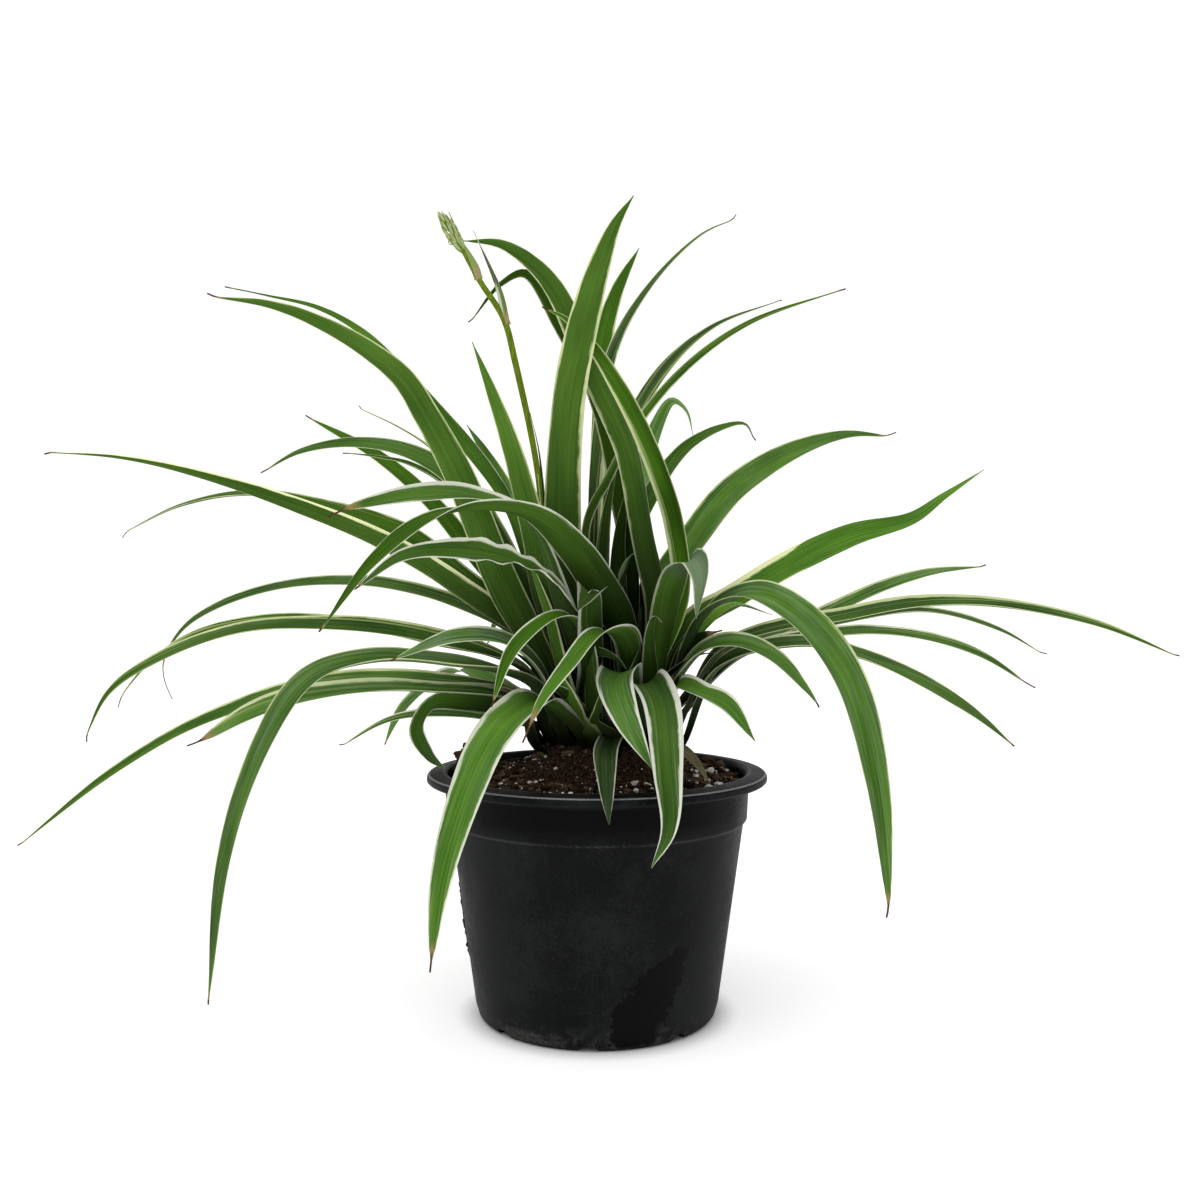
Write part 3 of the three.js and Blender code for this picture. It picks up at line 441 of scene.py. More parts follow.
        seat=(3, 330), width=15, taper=6, roll=(-19, -37, 60), open_to=0.25, dull_end=50,
        pale=(0.2, 0.16), cream=0.5, light=1.65,
        route=[(30, -10, 176), (33, -16, 195), (38, -24, 210), (43, -31, 214), (46, -36, 207),
               (44, -38, 187)]),
    "centre_2": dict(
        seat=(3, 300), width=11, pale=(0.22, 0.22), cream=0.1, light=1.1,
        route=[(24, -20, 153), (24, -26, 170), (24, -30, 182), (26, -33, 188), (29, -37, 185)]),
    "back_1": dict(
        seat=(5, 75), width=14, pale=(0.2, 0.2), cream=0.7, dry=3,
        route=[(16, 44, 160), (20, 76, 184), (24, 112, 180), (24, 140, 155), (24, 156, 120)]),
    "back_2": dict(
        seat=(5, 100), width=13, pale=(0.15, 0.2), cream=0.7, dry=4,
        route=[(-6, 44, 172), (-12, 84, 200), (-17, 128, 200), (-18, 160, 172), (-18, 176, 132)]),
    "back_3": dict(
        seat=(4, 120), width=12, pale=(0.2, 0.25), cream=0.6, dry=3,
        route=[(-24, 40, 165), (-40, 78, 186), (-54, 112, 186), (-65, 138, 164)]),
    "dry_leaf": dict(
        seat=(6, 315), width=9, pale=(0.1, 0.1), cream=0.5,
        route=[(37, -28, 128), (43, -33, 123.5), (50, -42, 114)]),
}

# Short young leaves and sheaths between the feet of the others, in the plant's heart
YOUNG_LEAVES = [
    dict(
        seat=(3, 285), width=14, taper=40, pale=(0.25, 0.2), cream=0.1, light=0.45,
        route=[(-2, -14, 149), (-2, -30, 166), (-2, -43, 182), (-2, -50, 194), (-2, -53, 200)]),
    dict(
        seat=(1, 280), width=11, pale=(0.2, 0.2), light=0.5,
        route=[(1, -6, 152), (3, -8, 171), (7, -8, 190), (12, -6, 204), (15, -4, 213)]),
    dict(
        seat=(2, 215), width=11, pale=(0.2, 0.2), light=0.6,
        route=[(-10, -2, 152), (-15, -6, 171), (-19, -8, 188), (-22, -8, 199)]),
    dict(
        seat=(4, 300), width=10, pale=(0.25, 0.25), light=0.6,
        route=[(10, -20, 144), (11, -26, 154), (16, -30, 164), (19, -30, 173)]),
    dict(
        seat=(4, 265), width=9, pale=(0.25, 0.25), light=0.7,
        route=[(-8, -24, 143), (-11, -32, 150), (-16, -38, 155), (-21, -44, 157), (-25, -48, 154)]),
    dict(
        seat=(4, 330), width=11, pale=(0.2, 0.25), light=0.6,
        route=[(25, -8, 148), (31, -12, 158), (39, -16, 165), (47, -20, 170), (54, -24, 171)]),
    dict(
        seat=(3, 200), width=11, pale=(0.2, 0.2), light=0.6,
        route=[(-18, 2, 147), (-25, 2, 157), (-33, 2, 165), (-41, 2, 171)]),
    dict(
        seat=(1, 250), width=13, pale=(0.15, 0.15), light=0.4,
        route=[(5, 0, 148), (6, 2, 176), (8, 4, 195), (10, 6, 207)]),
    dict(
        seat=(2, 10), width=13, pale=(0.15, 0.15), light=0.4,
        route=[(22, 4, 147), (23, 6, 171), (25, 8, 186), (27, 10, 194)]),
    dict(
        seat=(1, 60), width=14, pale=(0.15, 0.15), light=0.4,
        route=[(13, 8, 147), (13, 10, 176), (11, 12, 200), (10, 14, 210)]),
    dict(
        seat=(5, 275), width=6, pale=(0.2, 0.2), cream=0.8, light=1, open_to=0.5,
        route=[(-1, -27, 139), (0, -32, 145), (2, -38, 153), (4, -42, 158)]),
    dict(
        seat=(5, 255), width=12, pale=(0.25, 0.25), cream=0.8, light=1.5, open_to=0.7,
        route=[(-9, -27, 139), (-11, -32, 147), (-14, -36, 156), (-18, -38, 165)]),
    dict(
        seat=(4, 265), width=8, taper=3, pale=(0.12, 0.25), light=0.6, roll=-30,
        route=[(-4, -22, 150), (-5, -25, 162), (-4, -31, 169), (0, -35, 172), (5, -37, 171),
               (10, -38, 168), (14, -39, 163)]),
    dict(
        seat=(3, 240), width=8.5, pale=(0.15, 0.35), cream=0.9, light=1.3, open_to=0.8,
        route=[(-13, -16, 152), (-18, -20, 171), (-22, -20, 188), (-26, -18, 199), (-30, -16, 210),
               (-33, -14, 219)]),
    dict(
        seat=(1, 60), width=9, pale=(0.15, 0.15), light=1.6, grey=0.9, open_to=0.4, roll=-20,
        route=[(12, 6, 160), (11, 8, 182), (9, 8, 193), (11, 9, 204), (14, 10, 213), (19, 12, 218)]),
    dict(
        seat=(2, 45), width=9, pale=(0.1, 0.1), light=0.5,
        route=[(21, 24, 150), (21, 28, 169), (22, 30, 189), (23, 32, 204), (25, 34, 219)]),
    dict(
        seat=(5, 345), width=9, taper=5, roll=50, pale=(0.15, 0.15), light=0.5, dry=6,
        route=[(35, -6, 150), (39, -10, 167), (44, -14, 175), (51, -18, 179), (57, -22, 181)]),
    dict(
        seat=(2, 200), width=7, taper=2, pale=(0.1, 0.1), light=0.8, open_to=0.4,
        route=[(-20, 4, 175), (-22, 8, 204), (-25, 10, 233), (-28, 10, 266), (-32, 9, 284)]),
    dict(
        seat=(1, 215), width=4, taper=2, pale=(0.9, 0.9), cream=0.9, light=1, open_to=1,
        route=[(-19, 0, 176), (-23, 0, 204), (-26, 0, 232), (-28, 0, 254)]),
    dict(
        seat=(1, 60), width=13, pale=(0.12, 0.12), light=0.6,
        route=[(12, 20, 165), (11, 26, 195), (11, 30, 220), (14, 32, 242), (19, 33, 258)]),
    dict(
        seat=(1, 110), width=12, pale=(0.2, 0.2), cream=0.7, light=0.8, lines=0.7, grey=0.1,
        route=[(2, 16, 165), (1, 22, 190), (2, 27, 214), (5, 31, 240), (10, 33, 262)]),
]

# The tip of the first of them, which hangs folded over in front of it
FOLDED_TIP = dict(
    width=13.5, base_width=14, taper=1.3, pale=(0.3, 0.3), cream=0.1, light=0.55,
    route=[(-2, -53, 200.3), (-3, -55, 199), (-5, -57, 196), (-8, -58, 191)])

# The flower stem, its two bracts, the cluster of buds at its end, and the dry threads on that
STALK = dict(
    seat=(1, 190),
    route=[(-25, 7, 194), (-28, 8, 252), (-39, 4, 308), (-44, 0, 327), (-55, -5, 344), (-65, -9, 362),
           (-71, -11, 370)])
STALK_RADIUS = 1.6
STALK_STEP = 2.5
STALK_COLUMNS = 20
BRACT_BASE_WIDTH = 4
BRACTS = [
    dict(width=6, taper=0.6, cream=0,
         route=[(-42.5, 0, 324), (-44, -2, 332), (-46, -4, 340), (-51, -8, 352), (-57, -12, 365)]),
    dict(width=4.6, taper=1.8, cream=1,
         route=[(-55.2, -5.5, 344), (-56.6, -7, 348.5), (-59.4, -8.3, 354.5), (-63, -10, 361.5)]),
]
BUD_THREADS = [
    dict(width=0.9, route=[(-65.5, -10, 366), (-66.7, -11, 370), (-68.3, -12, 373.6)]),
    dict(width=0.7, route=[(-66.2, -10, 362), (-68.1, -11, 361), (-68.4, -11.5, 359.6), (-67.6, -11.5, 358.7),
                           (-66.4, -11, 359)]),
]
BUD_COUNT = 38
BUD_SIZE = 2.5
BUD_SPREAD = 2.5
BUD_CLUSTER_ENDS = ((-63, -8, 358), (-73.8, -11, 375.6))
BUD_RINGS = 12
BUD_COLUMNS = 10
RADIANS_BETWEEN_BUDS = 2.4


class Wire:
    """A socket of a finish, on which Python's operators add Math nodes."""

    def __init__(self, finish, socket):
        self.finish = finish
        self.socket = socket

    def __add__(self, other):
        return self.finish.math("ADD", self, other)

    def __sub__(self, other):
        return self.finish.math("SUBTRACT", self, other)

    def __rsub__(self, other):
        return self.finish.math("SUBTRACT", other, self)

    def __mul__(self, other):
        return self.finish.math("MULTIPLY", self, other)

    def __truediv__(self, other):
        return self.finish.math("DIVIDE", self, other)

    def __pow__(self, other):
        return self.finish.math("POWER", self, other)

    def __abs__(self):
        return self.finish.math("ABSOLUTE", self)

    __radd__ = __add__
    __rmul__ = __mul__


class Finish:
    """A material, or another thing with nodes, whose nodes are added one by one."""

    def __init__(self, name, kind=bpy.data.materials):
        self.owner = kind.new(name)
        self.owner.use_nodes = True
        self.tree = self.owner.node_tree
        self.tree.nodes.clear()

    def node(self, kind, settings, inputs, output=0):
        """Adds a node with its settings and the values or wires of its sockets, and returns an output."""
        made = self.tree.nodes.new("ShaderNode" + kind)
        for key, value in settings.items():
            setattr(made, key, value)
        for key, value in inputs.items():
            socket = made.inputs[key]
            if isinstance(value, Wire):
                self.tree.links.new(value.socket, socket)
            elif socket.type == "RGBA":
                socket.default_value = (*value[:3], 1)
            else:
                socket.default_value = value
        return Wire(self, made.outputs[output]) if made.outputs else None

    def math(self, operation, *values):
        return self.node("Math", {"operation": operation}, dict(enumerate(values)))

    def split(self, vector):
        """The three numbers of a vector or a colour."""
        first = self.node("SeparateXYZ", {}, {0: vector})
        return [Wire(self, output) for output in first.socket.node.outputs]

    def vector(self, x, y, z):
        return self.node("CombineXYZ", {}, {0: x, 1: y, 2: z})

    def parts(self, name):
        """The three numbers that a mesh keeps at each point under one name."""
        return self.split(self.node("Attribute", {"attribute_name": name}, {}, "Vector"))

    def place(self):
        """The point on the piece, in millimetres."""
        point = self.node("TexCoord", {}, {}, "Object")
        return self.node("VectorMath", {"operation": "SCALE"}, {0: point, "Scale": 1 / MM})

    def noise(self, vector, scale=1.0, detail=2.0, roughness=0.5):
        settings = {"Vector": vector, "Scale": scale, "Detail": detail, "Roughness": roughness}
        return self.node("TexNoise", {}, settings)

    def smooth(self, value, low, high):
        """0 below low, 1 above high, and a smooth step between, or the reverse where low is the larger."""
        return self.node("MapRange", {"interpolation_type": "SMOOTHSTEP"},
                         {"Value": value, "From Min": low, "From Max": high})

    def mix(self, first, second, share):
        """The first colour, turning into the second as the share goes from 0 to 1."""
        return self.node("Mix", {"data_type": "RGBA"}, {0: share, 6: first, 7: second}, 2)

    def tinted(self, colour, gain):
        return self.node("VectorMath", {"operation": "SCALE"}, {0: colour, "Scale": gain})

    def surface(self, colour, roughness, height=None, depth=0.2, strength=1.0, **constants):
        """Ends the finish: its colour, its roughness and the relief that its height gives, in mm."""
        inputs = {"Base Color": colour, "Roughness": roughness}
        if height is not None:
            inputs["Normal"] = self.node("Bump", {}, {"Height": height, "Distance": depth * MM,
                                                      "Strength": strength})
        inputs.update({key.replace("_", " "): value for key, value in constants.items()})
        shader = self.node("BsdfPrincipled", {}, inputs)
        self.node("OutputMaterial", {}, {"Surface": shader})
        return self.owner


def smoothstep(value, low, high):
    t = np.clip((np.asarray(value, float) - low) / (high - low), 0, 1)
    return t * t * (3 - 2 * t)


def seeded(state):
    """A source of numbers between 0 and 1 that are the same at each run."""

    def draw():
        nonlocal state
        state = (state * 16807) % 2147483647
        return state / 2147483647
    return draw


def rough(x, y, z, scale, seed=0.0):
    """Smooth noise of the place, between about -1 and 1."""
    return noise.noise(Vector((x * scale + seed, y * scale - seed, z * scale + 3 * seed)))


def turns(count):
    return [2 * math.pi * j / count for j in range(count)]


def ring_at(radius, height, count, x=0, y=0):
    """Points round a level circle."""
    return [(x + radius * math.cos(a), y + radius * math.sin(a), height) for a in turns(count)]


def from_crown(x, y):
    return math.hypot(x - CROWN_X, y - CROWN_Y)


def inside_pot(x, y):
    """The place itself, or one on the way to it that is just inside the wall."""
    kept = min(1, (SOIL_EDGE_RADIUS - 1) / math.hypot(x, y))
    return x * kept, y * kept


def grid_faces(rows, columns, start=0):
    """Quads between rings of points, each ring after the last."""
    faces = []
    for i in range(rows - 1):
        here, there = start + i * columns, start + (i + 1) * columns
        for j in range(columns):
            k = (j + 1) % columns
            faces.append((here + j, here + k, there + k, there + j))
    return faces


def closed_skin(rows, columns, start=0):
    """The quads between rings of points, and a face over each end."""
    last = start + (rows - 1) * columns
    ends = [tuple(range(start, start + columns))[::-1], tuple(range(last, last + columns))]
    return grid_faces(rows, columns, start) + ends


def make_piece(name, points, faces, finish, replaced=(), stored=None, sharp=None):
    """One piece of the plant from points in millimetres, with what its finish reads at each point."""
    mesh = bpy.data.meshes.new(name)
    mesh.from_pydata((np.asarray(points, float) * MM).tolist(), [], faces)
    mesh.polygons.foreach_set("use_smooth", np.ones(len(mesh.polygons), bool))
    for key, values in (stored or {}).items():
        attribute = mesh.attributes.new(key, "FLOAT_VECTOR", "POINT")
        attribute.data.foreach_set("vector", np.asarray(values, np.float32).ravel())
    if sharp is not None:
        ends = np.zeros(len(mesh.edges) * 2, int)
        mesh.edges.foreach_get("vertices", ends)
        mesh.edges.foreach_set("use_edge_sharp", sharp(ends[0::2], ends[1::2]))
    mesh.validate()
    mesh.materials.append(finish)
    piece = bpy.data.objects.new(name, mesh)
    bpy.context.scene.collection.objects.link(piece)
    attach(piece, "root")
    if replaced:
        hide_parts(*replaced)
    return piece


def smooth_route(points, per_span=24):
    """The smooth curve through the points, as a chain of close points."""
    p = np.array(points, float)
    p = np.vstack([2 * p[0] - p[1], p, 2 * p[-1] - p[-2]])
    w = np.linspace(0, 1, per_span, endpoint=False)[:, None]
    chain = []
    for a, b, c, d in zip(p, p[1:], p[2:], p[3:]):
        d0, d1, d2 = (math.sqrt(np.linalg.norm(v)) for v in (b - a, c - b, d - c))
        t1 = ((b - a) / d0 - (c - a) / (d0 + d1) + (c - b) / d1) * d1
        t2 = ((c - b) / d1 - (d - b) / (d1 + d2) + (d - c) / d2) * d1
        chain.append(b + t1 * w + (3 * (c - b) - 2 * t1 - t2) * w**2 + (2 * (b - c) + t1 + t2) * w**3)
    return np.vstack([*chain, p[-2:-1]])


def stations_along(points, step):
    """Evenly spaced stations on the smooth curve: places, directions and distances from its start."""
    chain = smooth_route(points)
    run = np.concatenate([[0], np.cumsum(np.linalg.norm(np.diff(chain, axis=0), axis=1))])
    count = max(LEAST_STATIONS, int(run[-1] / step))
    reach = np.linspace(0, run[-1], count + 1)
    places = np.stack([np.interp(reach, run, chain[:, k]) for k in range(3)], axis=1)
    directions = np.gradient(places, axis=0)
    return places, directions / np.linalg.norm(directions, axis=1)[:, None], reach


def carried_sides(directions, first_side):
    """Carries the first side along a curve with no twist of its own."""
    sides = []
    side = np.array(first_side, float)
    for direction in directions:
        side = side - side.dot(direction) * direction
        side /= np.linalg.norm(side)
        sides.append(side)
    sides = np.array(sides)
    return sides, np.cross(directions, sides)


def dome_height(radius):
    """The height of the crown's dome at this distance from its axis."""
    drop = CROWN_CURVATURE - math.sqrt(CROWN_CURVATURE**2 - radius**2)
    full = CROWN_CURVATURE - math.sqrt(CROWN_CURVATURE**2 - CROWN_RADIUS**2)
    return CROWN_FOOT_HEIGHT + full - drop


def seat_on_dome(ring, heading):
    """Where a leaf or the stem stands on the crown, which way it starts, its side and its way out."""
    radius = FIRST_RING_RADIUS + RING_SPACING * ring
    angle = math.radians(heading)
    lean = math.asin(radius / CROWN_CURVATURE)
    outward = np.array([math.cos(angle), math.sin(angle), 0])
    direction = outward * math.sin(lean) + np.array([0, 0, math.cos(lean)])
    foot = outward * radius + np.array([CROWN_X, CROWN_Y, dome_height(radius)])
    return foot, direction, np.array([-math.sin(angle), math.cos(angle), 0]), outward


def midline(seat, route):
    """The points of a leaf's or the stem's midline, from its foot on the crown, and its first side."""
    foot, direction, side = seat_on_dome(*seat)[:3]
    start = foot + direction * (CLEARANCE + SEAT_MARGIN)
    return [start, foot + direction * SHEATH_RISE, *route], side


def roll_along(along, roll):
    """A leaf's roll: none at the sheath, then the blade's own, or its three in turn."""
    if not isinstance(roll, tuple):
        return roll * smoothstep(along, 0.05, 0.4)
    lower, middle, outer = roll
    to_middle = (middle - lower) * smoothstep(along, 0.3, 0.6)
    to_outer = (outer - middle) * smoothstep(along, 0.6, 0.9)
    return lower * smoothstep(along, 0.05, 0.3) + to_middle + to_outer


def half_width(along, left, width, base_width, taper, dry):
    """Half the blade's width: its sheath's, then its own, down to a green tip or a shrunken dry one."""
    full = base_width + (width - base_width) * smoothstep(along, 0.03, 0.3)
    shrunk = 0.4 + 0.6 * smoothstep(left, dry * 0.5, dry * 1.3) if dry else 1
    return np.maximum(full * (1 - along**taper) * shrunk / 2, DRY_TIP if dry else GREEN_TIP)


def blade_lift(s, facing, along, reach, half, width, wave, seed, dry):
    """How far one line of a blade stands off its middle: its fold, its waves and half its thickness."""
    rise = half * math.tan(math.radians(FOLD)) * (1.7 - 0.7 * smoothstep(along, 0.04, 0.25))
    bend = 1.35 + 0.35 * smoothstep(along, 0.05, 0.3)
    phase = seed * 61
    swell = np.sin(reach / 17 + phase + (2 if s > 0 else 0)) + 0.6 * np.sin(reach / 7.3 + 2 * phase)
    thin = np.clip(half / 2, DRY_TIP_THICKNESS if dry else THIN_END, 1)
    thickness = BLADE_THICKNESS + (EDGE_THICKNESS - BLADE_THICKNESS) * s * s
    lift = rise * (abs(s) ** bend - 0.5)
    lift -= s * wave * np.sin(reach / WAVE_SPACING) * half / width
    lift += SWELL * half * swell * s * s
    return lift + facing * thin * thickness / 2


def blade_faces(stations):
    """The skin of a blade: its foot, the quads between its rings, and its tip."""
    last = (stations - 1) * BLADE_RING
    faces = [tuple(range(BLADE_RING))]
    for here in range(0, last, BLADE_RING):
        for j in range(BLADE_RING):
            k = (j + 1) % BLADE_RING
            faces.append((here + j, here + BLADE_RING + j, here + BLADE_RING + k, here + k))
    faces.append(tuple(range(last, last + BLADE_RING))[::-1])
    return faces


def on_blade_rim(a, b):
    """Whether the edge between two points runs along one of the blade's rims."""
    corners = (0, BLADE_COLUMNS - 1, BLADE_COLUMNS, BLADE_RING - 1)
    return np.isin(a % BLADE_RING, corners) & (a % BLADE_RING == b % BLADE_RING)


def at_points(count, *values):
    """A row for each of so many points, from lists with a number for each and from single numbers."""
    return np.stack([np.broadcast_to(value, count) for value in values], axis=1)


def make_blade(name, points, first_side, finish, slot, node, seed, width, base_width=BASE_WIDTH,
               taper=TAPER, roll=0, wave=0, pale=(0.2, 0.2), cream=0.5, dry=0, light=1, lines=0, grey=0,
               crimp=0, open_to=0, plain_end=0, dull_end=0):
    """A thin channelled blade along a midline, with a keel below, raised edges and a pointed tip."""
    places, directions, reach = stations_along(points, STATION_STEP)
    along = reach / reach[-1]
    left = reach[-1] - reach
    side, up = carried_sides(directions, first_side)
    turn = np.radians(roll_along(along, roll)) + SWAY * np.sin(along * 9 + seed * 40)
    across = side * np.cos(turn)[:, None] + up * np.sin(turn)[:, None]
    inward = up * np.cos(turn)[:, None] - side * np.sin(turn)[:, None]
    if dry:
        hook = dry * 0.5 * np.clip(1 - left / (dry * 1.2), 0, 1) ** 2
        places = places + inward * (hook * math.sin(seed * 50))[:, None]
    half = half_width(along, left, width, base_width, taper, dry)
    rippled = crimp * smoothstep(reach, 50, 65) * smoothstep(reach, 135, 112)
    columns = np.linspace(-1, 1, BLADE_COLUMNS)
    rings = []
    for facing in (1, -1):
        for s in columns[::facing]:
            lift = blade_lift(s, facing, along, reach, half, width, wave, seed, dry)
            shift = rippled * np.sin(reach / 2 + (1 if s > 0 else 0)) * s * s
            rings.append(places + across * (s * half + shift)[:, None] + inward * lift[:, None])
    cloud = np.stack(rings, axis=1).reshape(-1, 3)
    stations = len(places)
    s = np.tile(np.concatenate([columns, columns[::-1]]), stations)
    under = np.tile(np.repeat([0.0, 1.0], BLADE_COLUMNS), stations)
    count = len(cloud)
    stored = {
        "blade": at_points(count, s, np.repeat(reach, BLADE_RING), np.repeat(left, BLADE_RING)),
        "form": at_points(count, np.repeat(half, BLADE_RING), under, seed),
        "trait": at_points(count, np.where(s < 0, *pale), cream, dry),
        "tone": at_points(count, light, lines, grey),
        "spread": at_points(count, open_to, plain_end, dull_end),
    }
    return make_piece(name, cloud, blade_faces(stations), finish, node, stored, on_blade_rim)


class LeafFinish(Finish):
    """Green blades with pale margins, fine lengthwise veins, pale sheaths, dry brown tips, a painted sheen
    and painted shade.
    """

    def __init__(self):
        super().__init__("leaf_blade")
        self.across, self.reach, self.left = self.parts("blade")
        self.half, self.under, self.seed = self.parts("form")
        self.pale, self.cream, self.dry = self.parts("trait")
        self.light, self.lines, self.grey = self.parts("tone")
        self.open_to, self.plain_end, self.dull_end = self.parts("spread")
        self.x, self.y, self.z = self.split(self.place())
        self.side = self.across * self.half
        self.edge = abs(self.across)
        self.vein = self.grain(2.3, 0.01, self.seed * 31)
        self.cloud = self.grain(0.1, 0.022, self.seed * 13)
        self.rib = 1 - self.smooth(abs(self.side), 0.1, 0.4)
        self.inner = self.out_of_heart()
        self.border = self.margin_start()

    def grain(self, per_side, per_reach, offset, **settings):
        """Noise that is drawn out along the blade."""
        return self.noise(self.vector(self.side * per_side, self.reach * per_reach, offset), **settings)

    def out_of_heart(self):
        """0 in the painted shade of the plant's heart and 1 outside it, but no less than open_to."""
        ahead = (self.y - CROWN_Y) * 1.5
        above = ((self.z - HEART_HEIGHT) * 0.8) ** 2
        from_heart = self.math("SQRT", (self.x - CROWN_X) ** 2 + ahead * ahead + above)
        inner = self.smooth(from_heart, *HEART_REACH)
        return inner + (1 - inner) * self.open_to

    def margin_start(self):
        """Where the pale margin starts, as a share of the way from the midrib to the rim."""
        along_rim = self.vector(self.across, self.reach * 0.09, self.seed * 43)
        ragged = self.noise(along_rim, detail=3, roughness=0.6) - 0.5
        wider = 0.52 + 0.3 * self.smooth(self.reach, 70, 20)
        # The margins narrow in the heart, as part of its painted shade
        border = 1 - self.pale * wider * (0.45 + 0.55 * self.inner)
        uneven = (self.cloud - 0.5) * 0.1 + ragged * 0.22
        border = border - uneven * self.smooth(self.pale, 0, 0.2)
        return border + (1.3 - border) * self.smooth(self.plain_end - self.left, 0, 30)

    def streaks(self):
        """Pale streaks inside the blade, denser towards its margins."""
        streak = self.grain(1.2, 0.005, self.seed * 57 + 5, detail=1)
        stripe = self.smooth(streak, 0.66 - 0.16 * self.lines, 0.72 - 0.16 * self.lines)
        stripe = stripe * (0.35 + 0.5 * self.lines)
        return stripe * self.smooth(self.edge, self.border - 0.5 - 0.4 * self.lines, self.border - 0.1)

    def green(self):
        """The blade's green between its margins, with veins, clouds, a painted sheen, streaks and the heart's
        painted shade.
        """
        band = self.grain(0.6, 0.014, self.seed * 71, detail=3, roughness=0.7)
        uneven = (self.vein - 0.5) * 0.22 + (band - 0.5) * (0.12 + 1.1 * self.grey) + (self.cloud - 0.5) * 0.3
        dark = self.mix(UPPER_DARK, UNDER_DARK, self.under)
        bright = self.mix(UPPER_BRIGHT, UNDER_BRIGHT, self.under)
        green = self.mix(dark, bright, self.smooth(uneven, -0.14, 0.14))
        green = self.mix(green, RIB_GREEN, self.rib * 0.15)
        # A painted greyish sheen over the blade's flanks, as strong as grey gives
        flank = self.grain(0.9, 0.035, self.seed * 19, detail=3, roughness=0.6)
        sheen = self.smooth(flank + 0.1 * self.smooth(self.edge, 0.1, 0.5), 0.48, 0.72)
        body = self.split(green)[1]
        greyed = self.vector(body * 0.95, body * 1.26, body * 0.84)
        green = self.mix(green, greyed, self.grey * (0.5 + 1.5 * sheen))
        dull = self.smooth(self.dull_end - self.left, 0, 15)
        green = self.mix(green, self.tinted(greyed, 0.7), dull * 0.8)
        # Painted shade in the heart, scaled by the leaf's brightness, which is partly painted light
        green = self.tinted(green, self.light * (HEART_SHADE + (1 - HEART_SHADE) * self.inner))
        return self.mix(green, STREAK_GREEN, self.streaks())

    def margin_colour(self):
        """White to yellow margins, darker in the heart's painted shade and on dark leaves."""
        colour = self.mix(MARGIN_WHITE, MARGIN_CREAM, self.cream)
        colour = self.mix(colour, MARGIN_YELLOW, self.smooth(self.cream, 0.93, 1))
        # Painted shade in the heart
        colour = self.tinted(colour, (0.8 + 0.3 * self.vein) * (0.22 + 0.78 * self.inner))
        return self.tinted(colour, 0.55 + 0.45 * self.smooth(self.light, 0.2, 0.9))

    def shaded_foot(self, colour):
        """The colour of a sheath, and the painted shade that darkens a leaf's foot where it stands low among
        the others.
        """
        sheath = self.smooth(self.reach + 12 * (self.vein - 0.5), 34, 8)
        colour = self.mix(colour, self.tinted(SHEATH_OLIVE, self.light), sheath * 0.6)
        # Painted shade at the leaves' feet, lifted by open_to higher up
        shade = FOOT_SHADE * self.smooth(self.z, 156, 128) * self.smooth(self.reach, 58, 24)
        lit = self.open_to * self.smooth(self.z, 133, 143)
        return self.tinted(colour, 1 - shade * (1 - lit))

    def finished(self):
        margin = self.smooth(self.edge + (self.vein - 0.5) * 0.2, self.border - 0.07, self.border + 0.05)
        colour = self.shaded_foot(self.mix(self.green(), self.margin_colour(), margin))
        fade = self.grain(0.8, 0.2, self.seed * 7, detail=3)
        end = self.left + 6 * (fade - 0.5)
        has_dry_end = self.smooth(self.dry, 0.5, 1)
        tan = self.smooth(end, self.dry * 1.6, self.dry * 0.9) * has_dry_end
        brown = self.smooth(end, self.dry, self.dry * 0.6) * has_dry_end
        colour = self.mix(colour, END_TAN, tan)
        colour = self.mix(colour, self.mix(*END_BROWNS, fade), brown)
        roughness = 0.45 + 0.16 * (self.cloud - 0.5) + 0.12 * self.under + 0.25 * brown
        height = self.vein + 0.35 * self.math("COSINE", self.side * 5.5) - 0.8 * self.rib
        return self.surface(colour, roughness, height, depth=0.14, strength=0.5, Specular_IOR_Level=0.04)


def dry_finish():
    """The grey-brown fallen leaf, and the old sheaths."""
    f = Finish("dry_blade")
    across, reach = f.parts("blade")[:2]
    grain = f.noise(f.vector(across * 5, reach * 0.12, 3.0), detail=4)
    colour = f.mix(*FALLEN_BROWNS, grain)
    return f.surface(colour, 0.8, grain, depth=0.4, Specular_IOR_Level=0.1)


def stem_finish():
    """The yellow-green flower stem."""
    f = Finish("flower_stem")
    x, y, z = f.split(f.place())
    grain = f.noise(f.vector(x * 0.9, y * 0.9, z * 0.04), detail=3)
    colour = f.mix(*STEM_GREENS, f.smooth(grain, 0.3, 0.7))
    return f.surface(colour, 0.5, grain, depth=0.15, Specular_IOR_Level=0.1)


def bract_finish():
    """Papery bracts: brown at the foot, green with one clear side, and a dry thread at the tip."""
    f = Finish("papery_bract")
    across, reach, left = f.parts("blade")
    cream = f.parts("trait")[1]
    grain = f.noise(f.vector(across * 4, reach * 0.05, 1.0), detail=3)
    clear = f.smooth(across + 0.4 * (grain - 0.5), 0, -0.4) * (1 - cream)
    colour = f.mix(*BRACT_GREENS, f.smooth(cream, 0.4, 1))
    colour = f.mix(colour, BRACT_CLEAR, clear)
    colour = f.mix(BRACT_FOOT, colour, f.smooth(reach + 4 * grain, 5, 10))
    colour = f.mix(colour, BRACT_THREAD, f.smooth(reach, 16, 22))
    colour = f.mix(colour, BRACT_END, f.smooth(left, 12, 6) * f.smooth(reach, 18, 24))
    return f.surface(colour, 0.6, grain, depth=0.2, Specular_IOR_Level=0.15)


